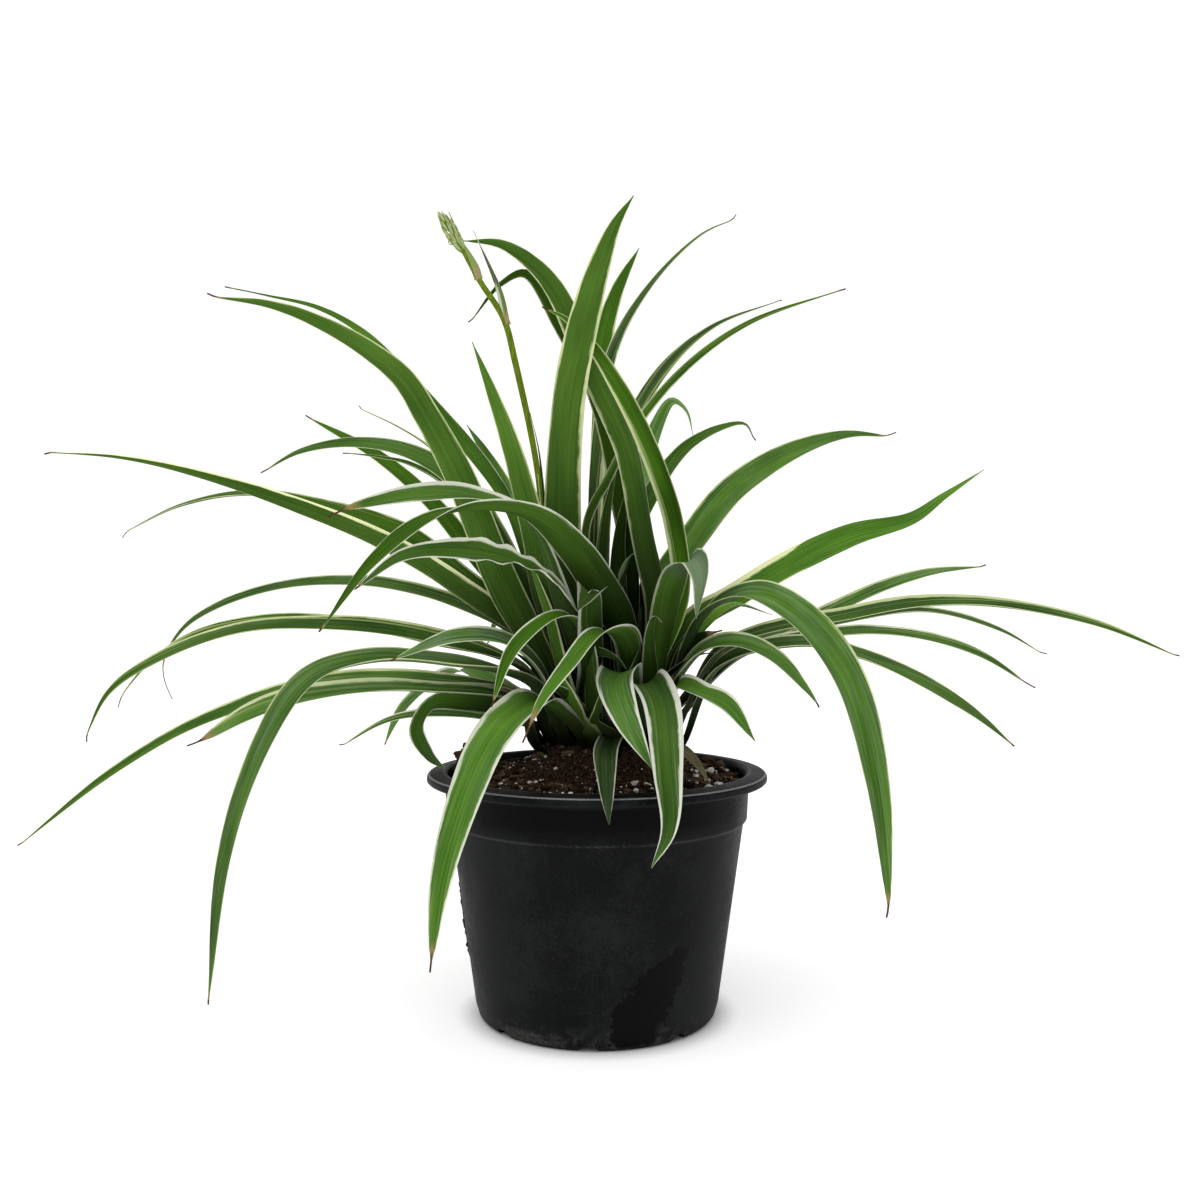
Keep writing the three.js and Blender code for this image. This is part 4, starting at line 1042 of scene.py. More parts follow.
def bud_finish():
    """Closed buds: pale green scales, striped darker along their length."""
    f = Finish("closed_bud")
    across, reach, left = f.parts("blade")
    grain = f.noise(f.vector(across * 7, reach * 0.5, left), detail=3)
    colour = f.mix(*BUD_GREENS, f.smooth(grain, 0.33, 0.6))
    colour = f.mix(colour, BUD_TIP, f.smooth(reach, 0.7, 1))
    return f.surface(colour, 0.5, grain, depth=0.2)


def crown_finish():
    """The crown: pale green between the inner leaves, and crusted with soil towards its edge."""
    f = Finish("crown_skin")
    x, y = f.split(f.place())[:2]
    from_axis = f.math("SQRT", (x - CROWN_X) ** 2 + (y - CROWN_Y) ** 2)
    grain = f.noise(f.place(), scale=0.4, detail=5)
    flesh = f.mix(*CROWN_GREENS, f.smooth(grain, 0.35, 0.6))
    crust = f.mix(*CROWN_CRUST, f.smooth(grain, 0.4, 0.75))
    colour = f.mix(flesh, crust, f.smooth(from_axis + 14 * (grain - 0.5), 8, 16))
    return f.surface(colour, 0.85, grain, depth=1.2, Specular_IOR_Level=0.1)


def soil_finish():
    """Dark peat with reddish fibres, darker in patches."""
    f = Finish("potting_soil")
    point = f.place()
    coarse = f.noise(point, scale=0.16, detail=3)
    fine = f.noise(point, scale=1.1, detail=5, roughness=0.65)
    colour = f.mix(*PEAT_BROWNS, f.smooth(fine, 0.42, 0.66))
    colour = f.mix(colour, PEAT_FIBRE, f.smooth(fine + 0.3 * coarse, 0.76, 0.88))
    return f.surface(colour, 0.9, fine + coarse, depth=1.2, Specular_IOR_Level=0.1)


def crumb_finish():
    """Loose crumbs, fibres and chips of the soil, each in its own shade."""
    f = Finish("soil_crumb")
    shade, red = f.parts("grain")[:2]
    fine = f.noise(f.place(), scale=1.5, detail=4)
    colour = f.mix(*CRUMB_BROWNS, shade)
    colour = f.mix(colour, CRUMB_RED, red)
    colour = f.tinted(colour, 0.6 + 0.8 * fine)
    return f.surface(colour, 0.85, fine, depth=0.5, Specular_IOR_Level=0.1)


def perlite_finish():
    """Chalky white grains, dusted brown in their pits."""
    f = Finish("perlite_grain")
    fine = f.noise(f.place(), scale=1.3, detail=5)
    colour = f.mix(*PERLITE_WHITES, f.smooth(fine, 0.3, 0.48))
    return f.surface(colour, 0.8, fine, depth=0.6, Specular_IOR_Level=0.2)


class PotFinish(Finish):
    """Black nursery plastic: dull and dusty, grey with wear at its edges, with a painted highlight along the
    lip, painted shade on the band under it, and a damp patch low on the front.
    """

    def __init__(self):
        super().__init__("nursery_plastic")
        self.point = self.place()
        self.x, self.y, self.z = self.split(self.point)
        self.radius = self.math("SQRT", self.x * self.x + self.y * self.y)
        self.broad = self.noise(self.point, scale=0.03, detail=3)
        self.fine = self.noise(self.point, scale=0.9, detail=4, roughness=0.6)

    def wear_and_highlight(self):
        """A painted highlight along the lip's line and, fainter, its inner edge, both stronger with wear, and
        wear on the edge of the step.
        """
        lip = self.smooth(abs(self.radius - RIM_DIAMETER / 2 + 1.05), 0.5, 0.25)
        lip = lip * self.smooth(self.z, 113, 113.4)
        inner = self.smooth(abs(self.radius - RIM_DIAMETER / 2 + LIP_OVERHANG), 0.9, 0.3)
        inner = inner * self.smooth(self.z, 112, 114)
        step = self.smooth(abs(self.z - STEP_HEIGHT - 0.6), 0.9, 0.3) * self.smooth(self.radius, 68, 69)
        wear = self.smooth(self.fine + 0.5 * self.broad, 0.6, 0.85)
        return lip * (0.75 + 0.25 * wear) + inner * 0.1 + (inner * 0.3 + step * 0.12) * wear

    def smeared(self):
        """The pale smear on the foot at the front left."""
        smear = self.smooth(abs(self.z - 4), 4, 1.5) * self.smooth(self.x, -10, -16)
        smear = smear * self.smooth(self.x, -46, -40)
        return smear * self.smooth(self.fine + self.broad, 0.75, 1.15)

    def damp(self):
        """The patch with its ragged outline, narrower towards its upper end."""
        ragged = self.noise(self.point, scale=0.16, detail=6, roughness=0.68) - 0.5
        across, up = DAMP_RISE
        along = (self.x - DAMP_X) * across + (self.z - DAMP_Z) * up
        aside = (self.x - DAMP_X) * up - (self.z - DAMP_Z) * across
        from_middle = (along / DAMP_HALF_LENGTH) ** 2 + (aside / (DAMP_HALF_WIDTH - along * 0.2)) ** 2
        return self.smooth(from_middle + ragged * 3.2, 1.04, 0.94) * self.smooth(self.y, 0, -10)

    def finished(self):
        mottle = self.noise(self.point, scale=0.22, detail=4, roughness=0.65)
        dust = self.smooth(self.broad * 0.45 + mottle * 0.25 + self.fine * 0.3, 0.42, 0.62)
        speck = self.smooth(self.noise(self.point, scale=2.2, detail=2), 0.7, 0.76)
        scratch = self.noise(self.vector(self.x * 0.12, self.y * 0.12, self.z * 1.6), detail=3)
        blotch = self.noise(self.point, scale=0.25, detail=5, roughness=0.7)
        scuffed = self.smooth(self.z, 13, 4) * self.smooth(blotch, 0.46, 0.7)
        # Painted shade on the band under the lip
        shade = 0.85 * self.smooth(self.z, STEP_HEIGHT, STEP_HEIGHT + 9) * self.smooth(self.z, 109, 107)
        damp = self.damp()
        colour = self.mix(*PLASTIC_BLACKS, dust)
        colour = self.mix(colour, PLASTIC_SPECK, speck * 0.5)
        colour = self.mix(colour, PLASTIC_SCRATCH, self.smooth(scratch, 0.68, 0.76) * 0.2)
        colour = self.tinted(colour, 1 - shade)
        # Wear, with a painted highlight along the lip and its inner edge
        colour = self.mix(colour, PLASTIC_WEAR_AND_HIGHLIGHT, self.wear_and_highlight())
        colour = self.mix(colour, PLASTIC_SCUFF, scuffed * 0.7)
        colour = self.mix(colour, PLASTIC_SMEAR, self.smeared() * 0.8)
        colour = self.mix(colour, PLASTIC_DAMP, damp * 0.95)
        roughness = 0.44 + 0.2 * dust - 0.1 * damp + 0.2 * scuffed
        height = self.fine * 0.5 + scratch * 0.3
        return self.surface(colour, roughness, height, depth=0.12, Specular_IOR_Level=0.06)


def make_leaf(name, leaf, seed, finish, slot, node):
    """One leaf on the crown, from its row in a table."""
    shape = dict(leaf)
    points, side = midline(shape.pop("seat"), shape.pop("route"))
    make_blade(name, points, side, finish, slot, [node], seed, **shape)


def make_leaves(withered):
    """All the leaves, the one that has fallen on the soil, and the young ones in the heart."""
    finish = LeafFinish().finished()
    for i, (name, leaf) in enumerate(LEAVES.items()):
        fallen = name == "dry_leaf"
        make_leaf(f"blade_{name}", leaf, (i * GOLDEN) % 1, withered if fallen else finish,
                  "dry_leaf" if fallen else "leaf", f"leaf_{name}")
    for i, leaf in enumerate(YOUNG_LEAVES):
        make_leaf(f"young_leaf_{i + 1}", leaf, (0.3 + i * GOLDEN) % 1, finish, "leaf", "crown")
    tip = dict(FOLDED_TIP)
    make_blade("young_leaf_tip", tip.pop("route"), (1, 0, 0), finish, "leaf", ["crown"], 0.3, **tip)


def make_stem():
    """The flower stem: a slightly ridged round tube along its route."""
    points, side = midline(STALK["seat"], STALK["route"])
    places, directions, reach = stations_along(points, STALK_STEP)
    side, up = carried_sides(directions, side)
    along = reach / reach[-1]
    radius = STALK_RADIUS * (1.05 - 0.25 * along) + 0.12 * np.sin(reach / 23)
    rings = []
    for angle in turns(STALK_COLUMNS):
        ridged = radius * (1 + 0.04 * math.cos(5 * angle))
        rings.append(places + (side * math.cos(angle) + up * math.sin(angle)) * ridged[:, None])
    cloud = np.stack(rings, axis=1).reshape(-1, 3)
    faces = closed_skin(len(places), STALK_COLUMNS)
    make_piece("flower_stem", cloud, faces, stem_finish(), ["flower_stalk"])


def make_bracts():
    """The stem's papery bracts, and the dry threads on its buds."""
    papery = bract_finish()
    for i, bract in enumerate(BRACTS):
        shape = dict(bract)
        make_blade(f"bract_{i + 1}", shape.pop("route"), (1, 0, 0), papery, "flower_stalk",
                   ["flower_stalk"], 0.3 + 0.4 * i, base_width=BRACT_BASE_WIDTH, **shape)
    for i, thread in enumerate(BUD_THREADS):
        make_blade(f"bud_thread_{i + 1}", thread["route"], (1, 0, 0), papery, "flower_stalk",
                   ["flower_stalk"], 0.5, width=thread["width"], base_width=thread["width"], cream=1)


def unit(vector):
    return vector / np.linalg.norm(vector)


def bud_at(b, start, end):
    """One narrow pointed bud of the spiral, with ribbed scales: its points, and what its finish reads."""
    axis = unit(end - start)
    side = unit(np.cross(axis, (0, 1, 0)))
    up = np.cross(axis, side)
    along = b / (BUD_COUNT - 1)
    turn = b * RADIANS_BETWEEN_BUDS
    outward = side * math.cos(turn) + up * math.sin(turn)
    aim = unit(axis + outward * 0.26 * (1 - 0.7 * along))
    wide = unit(np.cross(aim, outward))
    thick = np.cross(wide, aim)
    size = BUD_SIZE * (1 - 0.35 * along)
    length = size * 2.9
    reach = BUD_SPREAD * math.sin(math.pi * (0.14 + 0.78 * along)) ** 0.8
    foot = start + (end - start) * (along * 0.8) + outward * reach - aim * size
    points, traits = [], []
    for i in range(BUD_RINGS):
        t = i / (BUD_RINGS - 1)
        belly = math.sin(math.pi * min(1, t * 1.35 + 0.12) ** 0.8 * 0.5) * (1 - t**2.6)
        bow = outward * (0.16 * size * math.sin(math.pi * t) - 0.1 * size * t)
        middle = foot + aim * length * t + bow
        for angle in turns(BUD_COLUMNS):
            ribbed = size * 0.42 * max(0.06, belly) * (1 + 0.07 * math.cos(3 * angle))
            points.append(middle + wide * math.cos(angle) * ribbed + thick * math.sin(angle) * ribbed * 0.8)
            traits.append((math.cos(angle * 2) + b, t, b * 0.37))
    return points, traits


def make_buds():
    """The cluster of closed buds at the stem's end."""
    start, end = (np.array(place, float) for place in BUD_CLUSTER_ENDS)
    cloud, faces, traits = [], [], []
    for b in range(BUD_COUNT):
        faces += closed_skin(BUD_RINGS, BUD_COLUMNS, len(cloud))
        points, bud_traits = bud_at(b, start, end)
        cloud += points
        traits += bud_traits
    make_piece("bud_cluster", cloud, faces, bud_finish(), ["flower_stalk"], {"blade": traits})


def lumps_at(x, y, layers):
    """The height of lumps of several sizes, each with its height, its scale and its seed."""
    return sum(high * rough(x, y, 0, scale, seed) for high, scale, seed in layers)


def make_crown():
    """The crown: a lumpy dome over a tapered root ball, all of it one closed skin."""
    bottom = CROWN_FOOT_HEIGHT - CROWN_DEPTH
    outline = [(0.5, bottom, 0), (CROWN_RADIUS * 0.7, bottom, 0),
               (CROWN_RADIUS, bottom + CROWN_RADIUS * 0.35, 0),
               (CROWN_RADIUS, CROWN_FOOT_HEIGHT - 6, 0), (CROWN_RADIUS, CROWN_FOOT_HEIGHT - 2, 0.15)]
    for k in range(CROWN_RINGS):
        radius = CROWN_RADIUS * (1 - k / CROWN_RINGS) + 0.01
        outline.append((radius, dome_height(radius), min(1, k / 5)))
    cloud = []
    for radius, height, lumpy in outline:
        for x, y, z in ring_at(radius, height, CROWN_COLUMNS, CROWN_X, CROWN_Y):
            cloud.append((x, y, z + lumpy * (lumps_at(x, y, CROWN_LUMPS) - 0.6)))
    faces = closed_skin(len(outline), CROWN_COLUMNS)
    make_piece("crown_dome", cloud, faces, crown_finish(), ["crown"])


def make_sheaths(withered):
    """Short papery remains of old leaves round the feet of the outer ones."""
    draw = seeded(7)
    for i in range(OLD_SHEATHS):
        heading = 360 / OLD_SHEATHS * i + 32 * draw()
        foot, direction, side, outward = seat_on_dome(5.2 + 1.1 * draw(), heading)
        tall = 5 + 6 * draw()
        points = [foot - direction * 1.2, foot + direction * tall * 0.5 + outward * 0.5,
                  foot + direction * tall * 0.9 + outward * (1.5 + 3 * draw())]
        make_blade(f"old_sheath_{i + 1}", points, side, withered, "crown", ["crown"], draw(),
                   width=4 + 3 * draw(), base_width=5, taper=3.5, roll=-30 + 60 * draw())


def soil_height(x, y):
    """The soil as the solid has it: a mound with hollows, lower on the right."""
    mound = SOIL_MOUND * math.exp(-((from_crown(x, y) / SOIL_MOUND_RADIUS) ** 2))
    hollows = 1.1 * math.sin(x / 6.3 + 1) * math.cos(y / 5.1) + 0.7 * math.sin((x + y) / 3.7)
    return SOIL_EDGE_HEIGHT + mound + hollows - x / 45


def crumbled(x, y):
    """The soil's surface with its crumbs."""
    return soil_height(x, y) + lumps_at(x, y, CRUMB_LUMPS) - 0.2


def heap_height(x, y):
    """The soil heaped against the leaves' feet, which sinks into the soil's own surface beyond it."""
    reach = from_crown(x, y)
    front = 0.5 - 0.5 * math.sin(math.atan2(y - CROWN_Y, x - CROWN_X))
    top = HEAP_HEIGHT - 5 * (1 - front) - 0.2 * max(0, reach - 20)
    share = float(smoothstep(reach, HEAP_RADIUS, 25))
    return crumbled(x, y) - 0.8 + (top - crumbled(x, y) + 0.8) * share


def surface_height(x, y):
    """The top of the soil, with the heap where it stands higher."""
    if from_crown(x, y) > HEAP_RADIUS:
        return crumbled(x, y)
    return max(crumbled(x, y), heap_height(x, y))


def make_filling(finish):
    """The filling: a crumbly top with the crown's hole, down to the pot's floor."""
    hole = CROWN_RADIUS + CLEARANCE
    bottom = CROWN_FOOT_HEIGHT - CROWN_DEPTH - CLEARANCE
    rings = [ring_at(radius, height, SOIL_COLUMNS) for radius, height in SOIL_SIDES]
    for k in range(SOIL_RINGS):
        share = k / (SOIL_RINGS - 1)
        ring = []
        for a in turns(SOIL_COLUMNS):
            outer = np.array([SOIL_EDGE_RADIUS * math.cos(a), SOIL_EDGE_RADIUS * math.sin(a)])
            inner = np.array([CROWN_X + hole * math.cos(a), CROWN_Y + hole * math.sin(a)])
            x, y = outer + (inner - outer) * share
            ring.append((x, y, crumbled(x, y)))
        rings.append(ring)
    for radius, height in [(hole, bottom + 12), (hole * 0.7, bottom), (0.5, bottom)]:
        rings.append(ring_at(radius, height, SOIL_COLUMNS, CROWN_X, CROWN_Y))
    cloud = [point for ring in rings for point in ring]
    make_piece("soil_body", cloud, closed_skin(len(rings), SOIL_COLUMNS), finish, ["soil"])


def make_heap(finish):
    """The mound of soil pressed round the leaves' feet, closed below."""
    cloud = []
    for k in range(HEAP_RINGS):
        reach = HEAP_RADIUS + (HEAP_INNER_RADIUS - HEAP_RADIUS) * k / (HEAP_RINGS - 1)
        for x, y, z in ring_at(reach, 0, HEAP_COLUMNS, CROWN_X, CROWN_Y):
            x, y = inside_pot(x, y)
            cloud.append((x, y, heap_height(x, y) + lumps_at(x, y, HEAP_LUMPS) * min(1, k / 4)))
    cloud += ring_at(HEAP_INNER_RADIUS, CROWN_FOOT_HEIGHT - 2, HEAP_COLUMNS, CROWN_X, CROWN_Y)
    for x, y, z in ring_at(HEAP_RADIUS, SOIL_EDGE_HEIGHT - 4, HEAP_COLUMNS, CROWN_X, CROWN_Y):
        cloud.append((*inside_pot(x, y), z))
    faces = grid_faces(HEAP_RINGS + 2, HEAP_COLUMNS)
    last = (HEAP_RINGS + 1) * HEAP_COLUMNS
    for j in range(HEAP_COLUMNS):
        k = (j + 1) % HEAP_COLUMNS
        faces.append((last + j, last + k, k, j))
    make_piece("soil_heap", cloud, faces, finish, ["soil"])


def pebble(centre, size, stretch, turn, lumps, detail=2):
    """A lumpy grain, as points and faces."""
    ball = bmesh.new()
    bmesh.ops.create_icosphere(ball, subdivisions=detail, radius=1)
    points = []
    for vertex in ball.verts:
        x, y, z = vertex.co
        bulge = 1 + lumps * rough(x, y, z, 1.6, turn * 5) + 0.5 * lumps * rough(x, y, z, 3.7, turn)
        x, y, z = x * stretch * bulge, y * bulge, z * 0.8 * bulge
        turned = (x * math.cos(turn) - y * math.sin(turn), x * math.sin(turn) + y * math.cos(turn), z)
        points.append(np.array(turned) * size + centre)
    ball.verts.index_update()
    faces = [tuple(v.index for v in face.verts) for face in ball.faces]
    ball.free()
    return points, faces


def pile(name, grains, finish, stored=None):
    """Many grains on the soil as one piece."""
    cloud, faces = [], []
    for points, grain_faces in grains:
        first = len(cloud)
        cloud += list(points)
        faces += [tuple(first + k for k in face) for face in grain_faces]
    return make_piece(name, cloud, faces, finish, ["soil"], stored)


def scattered(draw, least, breadth):
    """A place drawn from a ring round the pot's axis, and its bearing."""
    turn = draw() * 2 * math.pi
    radius = least + breadth * math.sqrt(draw())
    return radius * math.cos(turn), radius * math.sin(turn), turn


def make_perlite():
    """White perlite grains: the larger ones, and small ones between."""
    draw = seeded(41)
    grains = []
    for i in range(LARGE_PERLITE):
        x, y, turn = scattered(draw, 37, 26.6)
        size = 1.1 + 1.3 * draw()
        centre = (x, y, max(soil_height(x, y), surface_height(x, y) - 0.6) + size * 0.3)
        grains.append(pebble(centre, size * 0.8, 1.15, turn, 0.5))
    for i in range(SMALL_PERLITE):
        x, y, turn = scattered(draw, 20, 46)
        size = 0.2 + 0.85 * draw() ** 3
        if from_crown(x, y) > 19:
            grains.append(pebble((x, y, surface_height(x, y) + size * 0.4), size, 1.2, turn, 0.4, 1))
    pile("perlite_grains", grains, perlite_finish())


def make_crumbs(finish):
    """Loose crumbs, and fibres lying about on them."""
    draw = seeded(97)
    grains, shades = [], []
    for i in range(CRUMBS):
        x, y, turn = scattered(draw, 0, 66)
        size = 0.35 + 1.5 * draw() ** 4
        if from_crown(x, y) < CROWN_RADIUS * 0.62:
            continue
        if from_crown(x, y) < HEAP_RADIUS:
            size *= 0.65
        centre = (x, y, surface_height(x, y) + size * 0.3)
        grains.append(pebble(centre, size, 1 + 1.5 * draw(), turn, 0.95, 1))
        shades += [(draw() ** 3, 0.7 * max(0, draw() - 0.7), 0)] * len(grains[-1][0])
    for i in range(FIBRES):
        turn = draw() * 2 * math.pi
        bend = 0.6 * (draw() - 0.5)
        radius = 36 + 29 * math.sqrt(draw())
        heading = draw() * 2 * math.pi
        length = 3 + 9 * draw()
        thick = 0.14 + 0.25 * draw()
        grains.append(fibre(radius * math.cos(turn), radius * math.sin(turn), heading, bend, length, thick))
        shades += [(0.4, 0.35 + 0.6 * draw(), 0)] * len(grains[-1][0])
    pile("soil_crumbs", grains, finish, {"grain": shades})


def fibre(x, y, heading, bend, length, thick):
    """A thin bent root or shred, as points and faces."""
    rows, columns = 7, 5
    points = []
    for i in range(rows):
        t = i / (rows - 1)
        angle = heading + bend * t * 2
        ahead = length * (t - 0.5)
        px, py = inside_pot(x + ahead * math.cos(angle), y + ahead * math.sin(angle))
        ground = surface_height(px, py) + thick + 0.9 * math.sin(math.pi * t)
        for around in turns(columns):
            aside = thick * math.cos(around) * (1 - 0.5 * t)
            points.append((px - aside * math.sin(angle), py + aside * math.cos(angle),
                           ground + thick * math.sin(around) * (1 - 0.5 * t)))
    return points, closed_skin(rows, columns)


def make_chips(finish):
    """Bark chips, the large one at the back left among them, and lumps of soil."""
    draw = seeded(23)
    grains, shades = [], []
    chips = [LARGE_CHIP]
    for i in range(SMALL_CHIPS):
        x, y, turn = scattered(draw, 42, 21)
        chips.append((x, y, 0.7 + 1.1 * draw(), 6 * draw()))
    for x, y, size, turn in chips:
        lift = size * (0.55 if (x, y, size, turn) == LARGE_CHIP else 0.2)
        grains.append(pebble((x, y, soil_height(x, y) + lift), size, 1.5, turn, 0.95, 3))
        shades += [(0.1 + 0.4 * draw(), 0.3 * draw(), 0)] * len(grains[-1][0])
    for x, y, height, size, turn in SOIL_LUMPS:
        grains.append(pebble((x, y, height), size, 1.25, turn, 0.6, 3))
        shades += [(0.15 + 0.4 * draw(), 0.25 * draw(), 0)] * len(grains[-1][0])
    pile("bark_chips", grains, finish, {"grain": shades})


def make_soil():
    peat = soil_finish()
    crumb = crumb_finish()
    make_filling(peat)
    make_heap(peat)
    make_perlite()
    make_crumbs(crumb)
    make_chips(crumb)


def rounded(outline, radius, steps=4):
    """The outline with its corners rounded, by at most a third of the shorter line at each."""
    p = [np.array(point, float) for point in outline]
    result = [p[0]]
    for a, b, c in zip(p, p[1:], p[2:]):
        before, after = np.linalg.norm(b - a), np.linalg.norm(c - b)
        cut = min(radius, before / 3, after / 3)
        start, end = b + (a - b) / before * cut, b + (c - b) / after * cut
        for k in range(steps + 1):
            t = k / steps
            result.append(start * (1 - t) ** 2 + b * 2 * t * (1 - t) + end * t * t)
    return result + [p[-1]]


def pot_outline():
    """The pot's section, from the middle of its underside round to the middle of its floor."""
    foot, rim = FOOT_DIAMETER / 2, RIM_DIAMETER / 2
    band_top = rim - LIP_OVERHANG
    lip_bottom = POT_HEIGHT - LIP_THICKNESS - 2
    outside = [(0, 0), (foot - 3.2, 0), (foot - 1.2, 1.8), (foot + 0.3, 7), (STEP_RADIUS, STEP_HEIGHT),
               (BAND_RADIUS, STEP_HEIGHT + 1.2), (band_top - 0.6, lip_bottom - 1),
               (band_top + 0.6, lip_bottom), (rim - 0.9, lip_bottom), (rim, lip_bottom + 0.9),
               (rim - 0.2, POT_HEIGHT - 2), (rim - 1.2, POT_HEIGHT - 1), (band_top, POT_HEIGHT)]
    inside = [(band_top - WALL - 0.2, POT_HEIGHT - 0.8), (band_top - WALL - 0.8, POT_HEIGHT - 2.6),
              (BAND_RADIUS - WALL - 0.5, STEP_HEIGHT + 1.2), (STEP_RADIUS - WALL, STEP_HEIGHT - 0.6),
              (foot - 1.1, 8), (foot - 4, FLOOR), (0, FLOOR)]
    return rounded(outside + inside, CORNER_ROUNDING)


def turned_pot():
    """The pot's outline, cut into low bands and turned round its axis, as a mesh in metres."""
    outline = pot_outline()
    bands = []
    for a, b in zip(outline, outline[1:]):
        parts = max(1, int(np.linalg.norm(b - a) / TALLEST_BAND))
        bands += [a + (b - a) * k / parts for k in range(parts)]
    mesh = bmesh.new()
    rings = [[mesh.verts.new(point) for point in ring_at(radius, height, POT_SIDES)]
             for radius, height in bands[1:]]
    underside = mesh.verts.new((0, 0, outline[0][1]))
    floor = mesh.verts.new((0, 0, outline[-1][1]))
    for low, high in zip(rings, rings[1:]):
        for j in range(POT_SIDES):
            k = (j + 1) % POT_SIDES
            mesh.faces.new((low[j], low[k], high[k], high[j]))
    for j in range(POT_SIDES):
        k = (j + 1) % POT_SIDES
        mesh.faces.new((underside, rings[0][k], rings[0][j]))
        mesh.faces.new((floor, rings[-1][j], rings[-1][k]))
    for vertex in mesh.verts:
        vertex.co *= MM
    return kept_mesh(mesh, "pot_uncut")


def kept_mesh(shape, name):
    """A mesh with this name, from a shape that is then freed."""
    made = bpy.data.meshes.new(name)
    shape.to_mesh(made)
    shape.free()
    return made


def notch_cutters():
    """One wedge for each notch, as a single mesh."""
    wedges = bmesh.new()
    section = [(-NOTCH_WIDTH / 2, -1), (NOTCH_WIDTH / 2, -1), (NOTCH_TOP_WIDTH / 2, NOTCH_HEIGHT),
               (-NOTCH_TOP_WIDTH / 2, NOTCH_HEIGHT)]
    for k in range(NOTCH_COUNT):
        angle = math.radians(FIRST_NOTCH + 360 * k / NOTCH_COUNT)
        out = np.array([math.cos(angle), math.sin(angle), 0])
        side = np.array([-math.sin(angle), math.cos(angle), 0])
        near, far = ([wedges.verts.new((out * reach + side * s + np.array([0, 0, z])) * MM)
                      for s, z in section] for reach in NOTCH_REACH)
        wedges.faces.new(far)
        wedges.faces.new(near[::-1])
        for j in range(4):
            i = (j + 1) % 4
            wedges.faces.new((near[j], near[i], far[i], far[j]))
    bmesh.ops.recalc_face_normals(wedges, faces=wedges.faces)
    return kept_mesh(wedges, "pot_notches")


def notched(body, cutter):
    """The points, in millimetres, and the faces of the body with the cutter's shapes cut out."""
    uncut = bpy.data.objects.new("pot_uncut", body)
    cutters = bpy.data.objects.new("pot_notches", cutter)
    for thing in (uncut, cutters):
        bpy.context.scene.collection.objects.link(thing)
    cut = uncut.modifiers.new("notches", "BOOLEAN")
    cut.operation = "DIFFERENCE"
    cut.solver = "EXACT"
    cut.object = cutters
    evaluated = uncut.evaluated_get(bpy.context.evaluated_depsgraph_get())
    shaped = evaluated.to_mesh()
    points = [np.array(v.co) / MM for v in shaped.vertices]
    faces = [tuple(face.vertices) for face in shaped.polygons]
    evaluated.to_mesh_clear()
    for thing in (uncut, cutters):
        data = thing.data
        bpy.data.objects.remove(thing)
        bpy.data.meshes.remove(data)
    return points, faces


def make_pot():
    """The nursery pot: a thin moulded wall with a stepped band, a flat lip and notches round its foot."""
    points, faces = notched(turned_pot(), notch_cutters())
    finish = PotFinish().finished()
    pot = make_piece("pot_shell", points, faces, finish, ["pot"])
    pot.data.set_sharp_from_angle(angle=math.radians(SHARPEST_SMOOTH))
    make_crust(finish)


def make_crust(finish):
    """A ragged strip of dried dirt down the left of the wall."""
    rows = 48
    foot = FOOT_DIAMETER / 2 + 0.3
    cloud = []
    for i in range(rows):
        share = i / (rows - 1)
        height = CRUST_ENDS[0] + (CRUST_ENDS[1] - CRUST_ENDS[0]) * share
        wall = foot + (STEP_RADIUS - foot) * (height - 7) / (STEP_HEIGHT - 7)
        lumps = abs(rough(height, 0, 0, 0.35, 3)) + 0.7 * abs(rough(height, 0, 0, 1.1, 8))
        thick = CRUST_THICKNESS * (0.25 + 1.5 * lumps) * math.sin(math.pi * (0.04 + 0.92 * share)) ** 0.4
        drift = 1.2 * rough(height, 4, 0, 0.3, 1)
        section = [(-2.6, -0.2), (-1.2, thick * 0.6), (0, thick), (1.3, thick * 0.5), (2.6, -0.2), (0, -0.9)]
        for turn, out in section:
            angle = math.radians(CRUST_HEADING + turn + drift)
            cloud.append(((wall + out) * math.cos(angle), (wall + out) * math.sin(angle), height))
    make_piece("dirt_strip", cloud, closed_skin(rows, len(section)), finish, ["pot"])


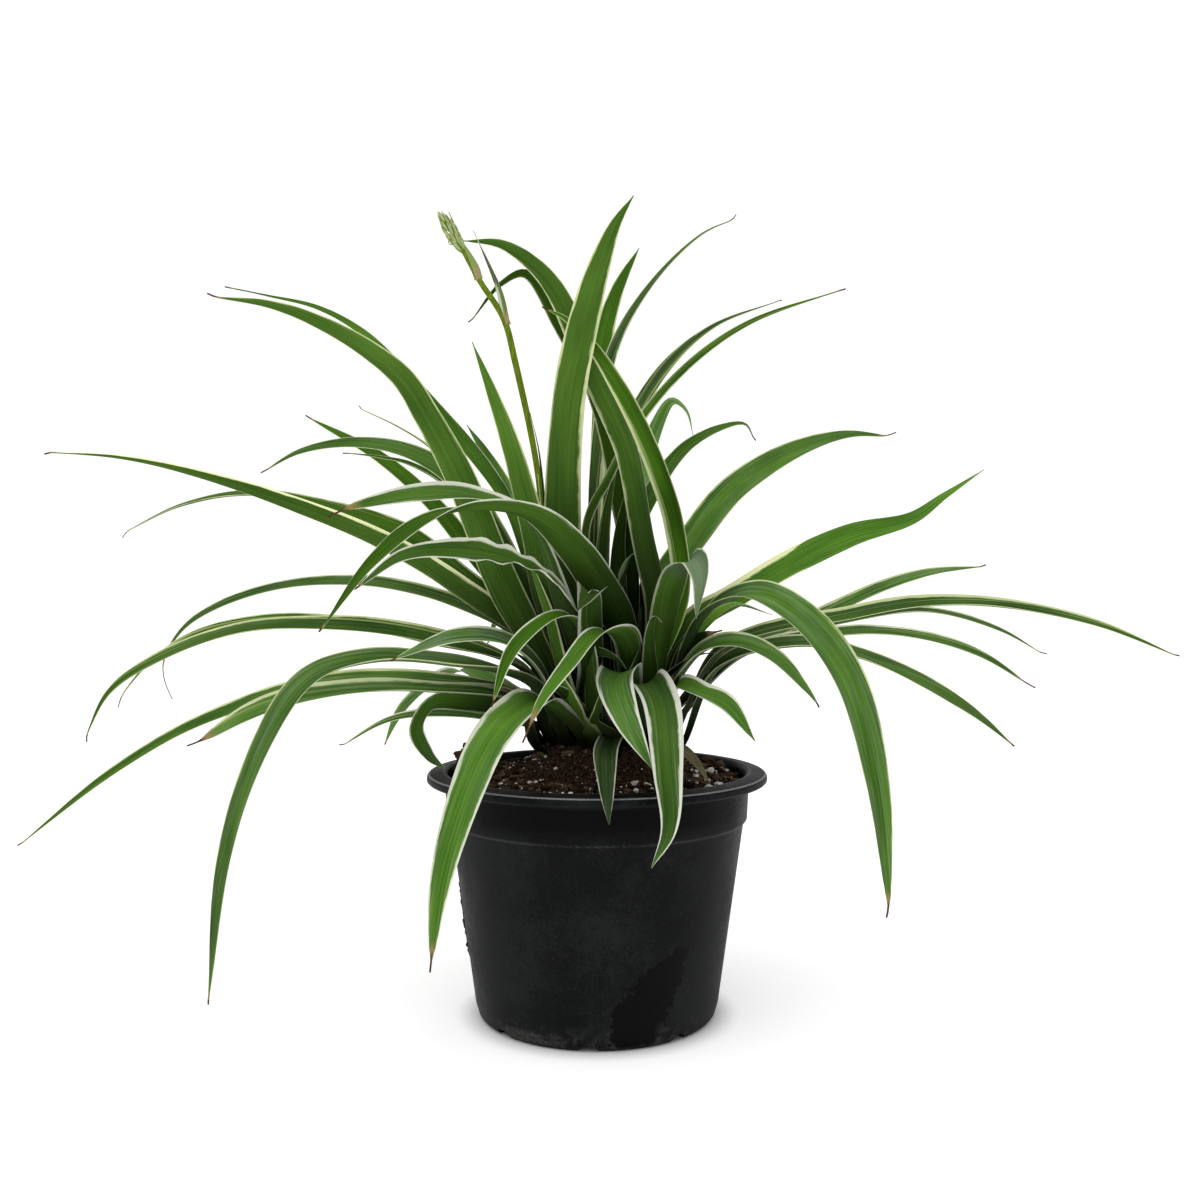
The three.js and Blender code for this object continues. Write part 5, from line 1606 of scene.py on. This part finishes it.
def make_camera():
    camera = bpy.data.objects.new("camera", bpy.data.cameras.new("camera"))
    camera.location = [value * MM for value in CAMERA_PLACE]
    camera.rotation_euler = (math.radians(90 - CAMERA_PITCH), 0, 0)
    camera.data.sensor_fit = "HORIZONTAL"
    camera.data.sensor_width = SENSOR_WIDTH
    camera.data.lens = FOCAL_PIXELS / FRAME_PIXELS * SENSOR_WIDTH
    camera.data.clip_start = NEAREST_SEEN * MM
    bpy.context.scene.collection.objects.link(camera)
    bpy.context.scene.camera = camera


def make_surround():
    """An even white surround, brighter to the camera than as a light."""
    f = Finish("surround", bpy.data.worlds)
    from_camera = f.node("LightPath", {}, {}, "Is Camera Ray")
    level = f.node("MapRange", {}, {"Value": from_camera, "To Min": AMBIENT_LIGHT, "To Max": BACKDROP_WHITE})
    background = f.node("Background", {}, {"Color": (1, 1, 1), "Strength": level})
    f.node("OutputWorld", {}, {"Surface": background})
    bpy.context.scene.world = f.owner


def make_floor():
    """A plain pale floor that glows a little, with painted shade under the pot where the glow stops."""
    f = Finish("studio_floor")
    x, y = f.split(f.place())[:2]
    from_middle = f.math("SQRT", x * x + y * y)
    # The glow stops under the pot, which paints shade there
    glow = f.mix((0, 0, 0), (1, 1, 1), f.smooth(from_middle, FOOT_DIAMETER / 2 - 6, FOOT_DIAMETER / 2 + 12))
    finish = f.surface(FLOOR_GREY, 0.8, Specular_IOR_Level=0.1, Emission_Color=glow,
                       Emission_Strength=FLOOR_GLOW)
    size = FLOOR_HALF_WIDTH * MM
    corners = [(-size, -size, 0), (size, -size, 0), (size, size, 0), (-size, size, 0)]
    mesh = bpy.data.meshes.new("studio_floor")
    mesh.from_pydata(corners, [], [(0, 1, 2, 3)])
    mesh.materials.append(finish)
    floor = bpy.data.objects.new("studio_floor", mesh)
    bpy.context.scene.collection.objects.link(floor)


def make_key_light():
    lamp = bpy.data.lights.new("key_light", "SUN")
    lamp.angle = math.radians(KEY_LIGHT_SPREAD)
    lamp.energy = KEY_LIGHT_STRENGTH
    light = bpy.data.objects.new("key_light", lamp)
    light.location = KEY_LIGHT_FROM
    light.rotation_euler = (-Vector(KEY_LIGHT_FROM)).to_track_quat("-Z", "Y").to_euler()
    bpy.context.scene.collection.objects.link(light)


make_camera()
make_surround()
make_floor()
make_key_light()
withered = dry_finish()
make_leaves(withered)
make_stem()
make_bracts()
make_buds()
make_crown()
make_sheaths(withered)
make_soil()
make_pot()
bpy.context.scene.view_settings.view_transform = "Standard"
